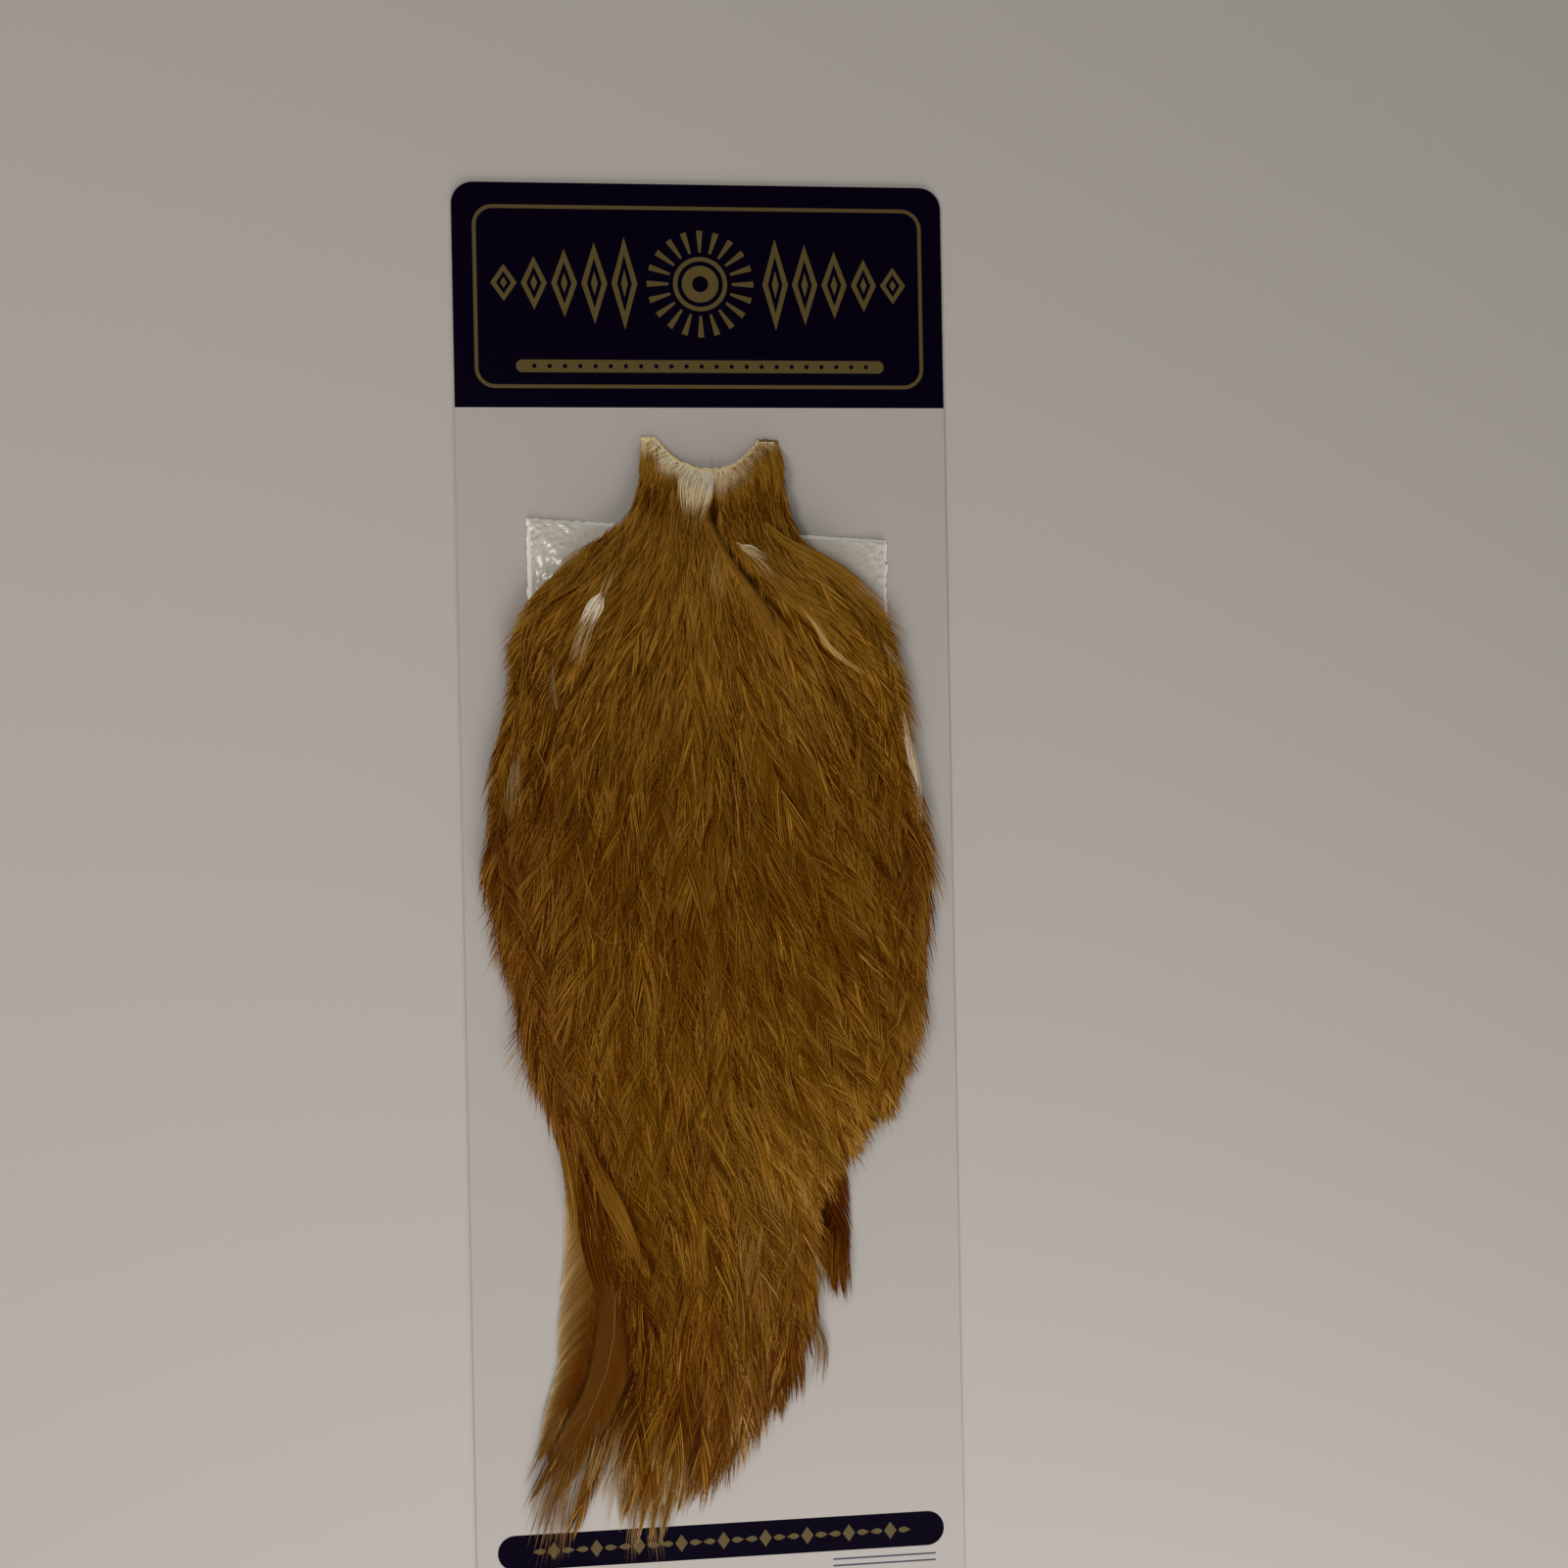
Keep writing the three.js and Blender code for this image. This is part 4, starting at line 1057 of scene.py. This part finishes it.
def single_feathers():
    """The feathers that show one by one. The slipped one lies over the others."""
    for name, node, points, kind, scale, over, tint, light in LONG_FEATHERS:
        feather_pieces(name, curve_through(points)[None], lambda t: over + 0 * t, tint, kind, scale,
                       heights_over(node), (node,), light=light, shaft=0.13, shaft_tint=0.14)
    feather_pieces("russet_single", curve_through(RUSSET_SHAFT)[None], lambda t: 0.5 + 0 * t, 0.38, RUSSET,
                   1.0, heights_over("russet_hackle"), ("russet_hackle",), "russet_feather", light=-0.24)
    feather_pieces("slipped_single", curve_through(SLIPPED_SHAFT)[None], lambda t: 2.6 - 0.3 * t, 0.67,
                   SLIPPED, 1.0, None, ("slipped_hackle",), "pale_feather", light=0.24, shaft=0.16,
                   shaft_tint=0.06)


# Materials. The feathers' colours run from dark russet through ginger and gold to white.
PALETTE = (
    (0.0, (26, 10, 2)), (0.2, (76, 34, 4)), (0.38, (97, 52, 1)), (0.5, (106, 65, 1)),
    (0.6, (124, 82, 12)), (0.72, (134, 102, 58)), (0.84, (182, 153, 108)), (0.93, (230, 203, 166)),
    (1.0, (255, 240, 222)),
)
# How far the feathers' red, green and blue are from the palette's where dark, plain and bright. The bright
# step, nearly grey, is a painted sheen.
COLOUR_STEPS = ((-44, -44, -44), (0, 0, 0), (44, 41, 34))


def rgb(*channels):
    shares = (c / 255 for c in channels)
    return (*(c / 12.92 if c <= 0.04045 else ((c + 0.055) / 1.055) ** 2.4 for c in shares), 1)


def material(name, roughness, colour=(0.5, 0.5, 0.5, 1), specular=0.5):
    made = bpy.data.materials.new(name)
    made.use_nodes = True
    shader = made.node_tree.nodes["Principled BSDF"]
    shader.inputs["Roughness"].default_value = roughness
    shader.inputs["Base Color"].default_value = colour
    shader.inputs["Specular IOR Level"].default_value = specular
    return made


def palette_ramp(tree, place_in_palette, steps):
    """The palette as a ramp, each of its colours moved by steps of red, green and blue."""
    ramp = tree.nodes.new("ShaderNodeValToRGB")
    ramp.color_ramp.elements.remove(ramp.color_ramp.elements[1])
    for k, (at, colour) in enumerate(PALETTE):
        element = ramp.color_ramp.elements[0] if k == 0 else ramp.color_ramp.elements.new(at)
        element.position = at
        element.color = rgb(*(min(max(channel + step, 0), 255) for channel, step in zip(colour, steps)))
    tree.links.new(place_in_palette, ramp.inputs["Fac"])
    return ramp.outputs["Color"]


def mixed(tree, share, low, high, first, second):
    """The first colour where share is low, the second where it is high."""
    span = tree.nodes.new("ShaderNodeMapRange")
    span.inputs["From Min"].default_value = low
    span.inputs["From Max"].default_value = high
    mix = tree.nodes.new("ShaderNodeMix")
    mix.data_type = "RGBA"
    tree.links.new(share, span.inputs["Value"])
    tree.links.new(span.outputs["Result"], mix.inputs["Factor"])
    tree.links.new(first, mix.inputs["A"])
    tree.links.new(second, mix.inputs["B"])
    return mix.outputs["Result"]


def palette_material(name, roughness, specular):
    """A material whose map OFBake holds the palette's place in U and the lightness in V."""
    made = material(name, roughness, specular=specular)
    tree = made.node_tree
    uv = tree.nodes.new("ShaderNodeUVMap")
    uv.uv_map = "OFBake"
    split = tree.nodes.new("ShaderNodeSeparateXYZ")
    tree.links.new(uv.outputs["UV"], split.inputs[0])
    place_in_palette, light = split.outputs["X"], split.outputs["Y"]
    dark, plain, bright = (palette_ramp(tree, place_in_palette, steps) for steps in COLOUR_STEPS)
    lower = mixed(tree, light, 0, 0.5, dark, plain)
    shader = tree.nodes["Principled BSDF"]
    tree.links.new(mixed(tree, light, 0.5, 1, lower, bright), shader.inputs["Base Color"])
    return made


FEATHER = palette_material("feather", 0.5, 0.015)
# The down under the feathers, coloured dark brown as painted shade of the depth between them
SHADED_DOWN = material("down", 0.9, rgb(60, 30, 3), 0.05)
SKIN = material("dried skin", 0.55, rgb(234, 210, 156))
DARK_SKIN = material("dark dried skin", 0.6, rgb(108, 84, 46))
BOARD = material("white board", 0.62, rgb(172, 166, 160))
NAVY = material("navy ink", 0.6, rgb(4, 0, 17), 0.025)
GOLD = material("gold ink", 0.5, rgb(86, 72, 36), 0.15)
GREY = material("grey ink", 0.6, rgb(44, 44, 62))
FILM = material("film", 0.13, rgb(193, 187, 175))
# The hem is painted pale, as the highlight along the film's folded edge
HEM_HIGHLIGHT = material("film hem highlight", 0.3, rgb(240, 236, 226))

# Rows of the skin's faces at the neck that show bare skin between the feathers, and the share of the
# neck's cut edge that is dark, at the right horn
BARE_ROWS = 2
DARK_HORN_SHARE = 0.145


def skin_and_down():
    """The cured skin with the down that the feathers grow through, closed, under the feathers. The down is
    painted dark brown as the shade between the feathers.
    """
    rows, columns = 110, 44
    across = np.linspace(-1, 1, columns)
    share = np.linspace(0, 1, rows)[:, None] ** 1.1
    neck = neck_edge(across)
    at_neck = x_across(across, neck, 1.2)
    y = (neck_edge(across_at(at_neck, neck)) - 0.5)[None] * (1 - share) + DOWN_FOOT_Y * share
    inset = 1.2 + 1.8 * smoothstep(share, 0, 0.1) + 1.5 * smoothstep(share, 0.8, 1)
    x = x_across(across, y, inset)
    under = on_grid(UNDER, x, y)
    sunk = 0.8 + 0.6 * smoothstep(share, 0.0, 0.08)
    top = np.maximum(surface(x, y, flap_share(x, y)) - sunk, under + 0.4)
    above = np.stack([x, y, top], -1)[:, ::-1]
    below = np.stack([x, y, under], -1)
    mesh = grid_mesh("skin_and_down", np.concatenate([above, below], 1), closed=True)
    row = np.arange(len(mesh.polygons)) // (2 * columns)
    mesh.polygons.foreach_set("material_index", (row < BARE_ROWS).astype(np.int32))
    return mesh


def neck_rim():
    """The cut edge of the skin, which shows as a pale line along the neck."""
    across = np.linspace(-1, 1, 120)
    y = neck_edge(across)
    x = x_across(across, y)
    y = y + scatter(0.16, len(y))
    low = on_grid(UNDER, x, y)
    high = surface(x, y, 0) - 0.1
    ring = ((0.05, 0.0), (0.25, 0.5), (0.1, 1.0), (-0.4, 1.1), (-0.8, 0.9), (-0.8, 0.1))
    rings = [np.stack([x, y + dy, low + (high - low) * up], -1) for dy, up in ring]
    mesh = grid_mesh("neck_rim", np.stack(rings, 1)[::-1], closed=True)
    # The faces run from the right horn to the left one
    share = np.arange(len(mesh.polygons)) / len(mesh.polygons)
    mesh.polygons.foreach_set("material_index", (share < DARK_HORN_SHARE).astype(np.int32))
    return mesh


# The card with its print

def rounded_box(x, y, half_x, half_y, radius, steps=8):
    """The loop of a rounded rectangle around a place, counterclockwise."""
    loop = []
    for k, (sx, sy) in enumerate(((1, -1), (1, 1), (-1, 1), (-1, -1))):
        for i in range(steps + 1):
            turn = math.radians(90 * (k - 1 + i / steps))
            loop.append((x + sx * (half_x - radius) + radius * math.cos(turn),
                         y + sy * (half_y - radius) + radius * math.sin(turn)))
    return loop


def leaf(x, y, degrees, length, half, steps=9):
    """The loop of a pointed leaf from its foot, turned from +Y towards +X."""
    c, s = math.cos(math.radians(degrees)), math.sin(math.radians(degrees))
    loop = []
    for side, shares in ((1, range(steps + 1)), (-1, range(steps - 1, 0, -1))):
        for i in shares:
            t = i / steps
            out = side * half * math.sin(math.pi * t ** 0.8)
            loop.append((x + out * c + length * t * s, y - out * s + length * t * c))
    return loop


def lozenge(x, y, half_x, half_y):
    return [(x - half_x, y), (x, y - half_y), (x + half_x, y), (x, y + half_y)]


def rays(x, y, count, inner, outer, half):
    """The loops of blunt rays all round a place."""
    loops = []
    for k in range(count):
        c, s = math.cos(2 * math.pi * k / count), math.sin(2 * math.pi * k / count)
        corners = ((inner, -half * 0.4), (outer, -half), (outer, half), (inner, half * 0.4))
        loops.append([(x + r * c - w * s, y + r * s + w * c) for r, w in corners])
    return loops


def header_print():
    """A band with a sun between rows of tall lozenges, over a bar of dots, in a rounded line, as pairs of
    an ink and a loop."""
    middle = (FRAME_LOW_Y + FRAME_HIGH_Y) / 2
    half = (FRAME_HIGH_Y - FRAME_LOW_Y) / 2
    shapes = [
        (NAVY_INK, [(-70, BAND_EDGE_Y), (70, BAND_EDGE_Y), (70, 210), (-70, 210)]),
        (GOLD_INK, rounded_box(0, middle, FRAME_HALF_WIDTH, half, FRAME_CORNER)),
        (NAVY_INK, rounded_box(0, middle, FRAME_HALF_WIDTH - FRAME_LINE, half - FRAME_LINE,
                               FRAME_CORNER - FRAME_LINE)),
    ]
    shapes += [(GOLD_INK, ray) for ray in rays(0, SUN_Y, *SUN_RAYS)]
    by_turns = (GOLD_INK, NAVY_INK, GOLD_INK, NAVY_INK)
    for radius, ink in zip(SUN_DISCS, by_turns):
        shapes.append((ink, rounded_box(0, SUN_Y, radius, radius, radius - 0.01)))
    for side in (-1, 1):
        for k, tall in enumerate(LOZENGE_HEIGHTS):
            x = side * (LOZENGE_FROM + LOZENGE_STEP * k)
            for (half_x, share), ink in zip(LOZENGE_LAYERS, by_turns):
                shapes.append((ink, lozenge(x, SUN_Y, half_x, tall * share)))
    shapes.append((GOLD_INK, rounded_box(0, FRAME_LOW_Y + 6, 50, 1.7, 1.65)))
    for k in range(-11, 12):
        shapes.append((NAVY_INK, rounded_box(4.1 * k, FRAME_LOW_Y + 6, 0.6, 0.6, 0.55, 3)))
    return shapes


def foot_print():
    """A bar with a row of small motifs, and double rules under it."""
    shapes = [(NAVY_INK, rounded_box(0, BAR_Y, FRAME_HALF_WIDTH, BAR_HALF_HEIGHT, BAR_HALF_HEIGHT - 0.05))]
    for k in range(-4, 5):
        x = k * 11.5
        shapes.append((GOLD_INK, lozenge(x, BAR_Y, 1.7, 2.4)))
        for side in (-1, 1):
            shapes.append((GOLD_INK, leaf(x + side * 2.2, BAR_Y, side * 90, 3.4, 0.8)))
    rule_half = (RULE_TO - RULE_FROM) / 2
    for y in RULE_YS:
        for side in (-1, 1):
            shapes.append((GREY_INK, rounded_box(side * (RULE_FROM + rule_half), y, rule_half, 0.25, 0.1, 1)))
    return shapes


def inside_loop(points, loop):
    """Which of the points (n, 2) lie inside a loop."""
    x, y = points[:, 0], points[:, 1]
    inside = np.zeros(len(points), bool)
    for (ax, ay), (bx, by) in zip(loop, loop[1:] + loop[:1]):
        crosses = (ay > y) != (by > y)
        if ay != by:
            inside ^= crosses & (x < (bx - ax) * (y - ay) / (by - ay) + ax)
    return inside


def printed_card():
    """The card, its upper face cut along the print so that each ink is a set of faces."""
    outline = rounded_box(0, 0, CARD_HALF_WIDTH, CARD_HALF_LENGTH, CARD_CORNER)
    shapes = header_print() + foot_print()
    points, edges = [], []
    for loop in [outline] + [shape for _, shape in shapes]:
        first = len(points)
        points += [Vector(p) for p in loop]
        edges += [(first + i, first + (i + 1) % len(loop)) for i in range(len(loop))]
    flat, _, faces, *_ = geometry.delaunay_2d_cdt(points, edges, [], 0, 1e-5)
    flat = np.array([tuple(p) for p in flat])
    faces = np.array([tuple(f) for f in faces if len(f) == 3])
    faces = faces[inside_loop(flat[faces].mean(1), outline)]
    used, faces = np.unique(faces, return_inverse=True)
    flat, faces = flat[used], faces.reshape(-1, 3)
    middles = flat[faces].mean(1)
    inks = np.zeros(len(faces), int)
    for ink, shape in shapes:
        inks[inside_loop(middles, shape)] = ink

    top = [(x, y, CARD_THICKNESS) for x, y in flat]
    rim = [(x, y, CARD_THICKNESS) for x, y in outline]
    foot = [(x, y, 0) for x, y in outline]
    verts = np.array(top + rim + foot) * MM
    a, b, n = len(top), len(top) + len(rim), len(outline)
    walls = [(b + i, b + (i + 1) % n, a + (i + 1) % n, a + i) for i in range(n)]
    back = [tuple(b + i for i in reversed(range(n)))]
    mesh = bpy.data.meshes.new("printed_card")
    mesh.from_pydata(verts.tolist(), [], faces.tolist() + walls + back)
    mesh.polygons.foreach_set("material_index", list(inks) + [0] * (len(walls) + 1))
    return mesh


# The film bag

def crumpled_height(x, y):
    """The height of crumpled film as small flat facets that each tilt their own way."""
    spots_x = random.uniform(POUCH_LEFT, POUCH_RIGHT, FILM_FACETS)
    spots_y = random.uniform(POUCH_FOOT, POUCH_HEAD[0] + 0.5, FILM_FACETS)
    tilts = random.normal(size=(FILM_FACETS, 2))
    height = np.zeros(x.shape)
    each = np.arange(x.shape[1])
    for row in range(len(x)):
        dx, dy = x[row][:, None] - spots_x, y[row][:, None] - spots_y
        own = (dx * dx + dy * dy).argmin(1)
        height[row] = tilts[own, 0] * dx[each, own] + tilts[own, 1] * dy[each, own]
    return height


def film_bag():
    """A thin bag of clear film, folded flat, with a hem painted pale as the highlight along its edge,
    crumpled most at its upper corners.
    """
    columns, rows = 170, 120
    towards_sides = 0.5 - 0.5 * np.cos(np.pi * np.linspace(0, 1, columns))
    u, v = np.meshgrid(towards_sides, 1 - (1 - np.linspace(0, 1, rows)) ** 1.7)
    head = POUCH_HEAD[0] + (POUCH_HEAD[1] - POUCH_HEAD[0]) * u
    x = POUCH_LEFT + (POUCH_RIGHT - POUCH_LEFT) * u
    y = POUCH_FOOT + (head - POUCH_FOOT) * v
    inwards = np.minimum(np.minimum(u, 1 - u), np.minimum(v, 1 - v)) * POUCH_SPAN
    crease = crumpled_height(x, y)
    swell = 0.45 * smoothstep(inwards, 0, 1.2) + 0.4 * smoothstep(inwards, 2, 10)
    swollen = POUCH_LOW_Z + (POUCH_HIGH_Z - POUCH_LOW_Z) * swell * 0.8
    crumpled = FILM_CRUMPLED
    for corner_x, corner_y, more, reach in FILM_CORNERS:
        crumpled = crumpled + more * np.exp(-np.hypot(x - corner_x, y - corner_y) / reach)
    crumpled = crumpled + 0.1 * np.exp(-inwards / 4)
    z = swollen + crease * crumpled * smoothstep(inwards, 0, 2)
    wobble = 0.12 * crease * (inwards < 0.4)
    mesh = grid_mesh("film_bag", np.stack([x + wobble, y + wobble, z], -1))
    middle = (inwards[:-1, :-1] + inwards[1:, 1:]) / 2
    mesh.polygons.foreach_set("material_index", (middle < POUCH_HEM).astype(np.int32).ravel())
    return mesh


# All the pieces, in the order in which their random numbers are drawn

place(link("printed_card", printed_card(), [BOARD, NAVY, GOLD, GREY]), "card", "backing_card")
place(link("film_bag", film_bag(), [FILM, HEM_HIGHLIGHT]), "pouch", "plastic_pouch")
place(link("skin_and_down", skin_and_down(), [SHADED_DOWN, SKIN]), "cured_skin", "feathered_skin")
place(link("neck_rim", neck_rim(), [SKIN, DARK_SKIN]), "cured_skin", "feathered_skin")
for tract_name, sizes in TRACTS.items():
    tract(tract_name, *sizes)
tail_ends()
side_tips()
rim_feathers()
outline_feathers()
flap_edge()
loose_strands()
outline_hairs()
single_feathers()
bundle_piece("pale_tufts", PALE_TUFTS, curl=0.5, vary=0.045)
bundle_piece("pale_wisps", PALE_WISPS, vary=0.03)
bundle_piece("white_neck_tufts", WHITE_NECK_TUFTS, curl=0.6, vary=0.03, contrast=0.36, fade=-0.2, locks=4,
             shortest=0.3)
bundle_piece("gold_strands", GOLD_STRANDS, contrast=0.26)
bundle_piece("dark_tufts", DARK_TUFTS, "lower_left_hackle_2", contrast=0.22, fade=0.08, locks=3)
bundle_piece("side_wisps", SIDE_WISPS, contrast=0.22, fade=0.05, locks=2.5)
bundle_piece("russet_tips", RUSSET_TIPS, "russet_hackle", fade=0.1)
notch_tufts()
quills()


# Floor, light and camera

FLOOR_Z = -0.2
FLOOR_REACH = (-2500, 2500)
floor_points = np.array([[(x, y, FLOOR_Z) for x in FLOOR_REACH] for y in FLOOR_REACH], float)
FLOOR = material("floor", 0.8, rgb(180, 175, 169))
link("floor", grid_mesh("floor", floor_points), [FLOOR])


def area_light(name, place_mm, target_mm, size_mm, watts, colour):
    data = bpy.data.lights.new(name, "AREA")
    data.shape = "DISK"
    data.size = size_mm * MM
    data.energy = watts
    data.color = colour
    lamp = bpy.data.objects.new(name, data)
    bpy.context.scene.collection.objects.link(lamp)
    lamp.location = Vector(place_mm) * MM
    way = Vector(target_mm) * MM - lamp.location
    lamp.rotation_euler = way.to_track_quat("-Z", "Y").to_euler()


area_light("key", (-500, 40, 820), (0, 0, 0), 360, 2.7, (1.0, 0.97, 0.93))
area_light("low_fill", (120, -700, 420), (0, -160, 0), 600, 5.3, (1.0, 0.98, 0.96))

world = bpy.data.worlds.new("studio")
world.use_nodes = True
world.node_tree.nodes["Background"].inputs["Color"].default_value = (1.0, 0.97, 0.94, 1)
world.node_tree.nodes["Background"].inputs["Strength"].default_value = 0.28
bpy.context.scene.world = world
bpy.context.scene.view_settings.view_transform = "Standard"

camera_data = bpy.data.cameras.new("camera")
camera_data.lens = LENS
camera_data.sensor_width = SENSOR
camera_data.clip_start = 0.01
camera = bpy.data.objects.new("camera", camera_data)
bpy.context.scene.collection.objects.link(camera)
camera.rotation_mode = "ZXY"
camera.location = Vector(CAMERA_PLACE) * MM
camera.rotation_euler = (CAMERA_PITCH, CAMERA_YAW, CAMERA_ROLL)
bpy.context.scene.camera = camera
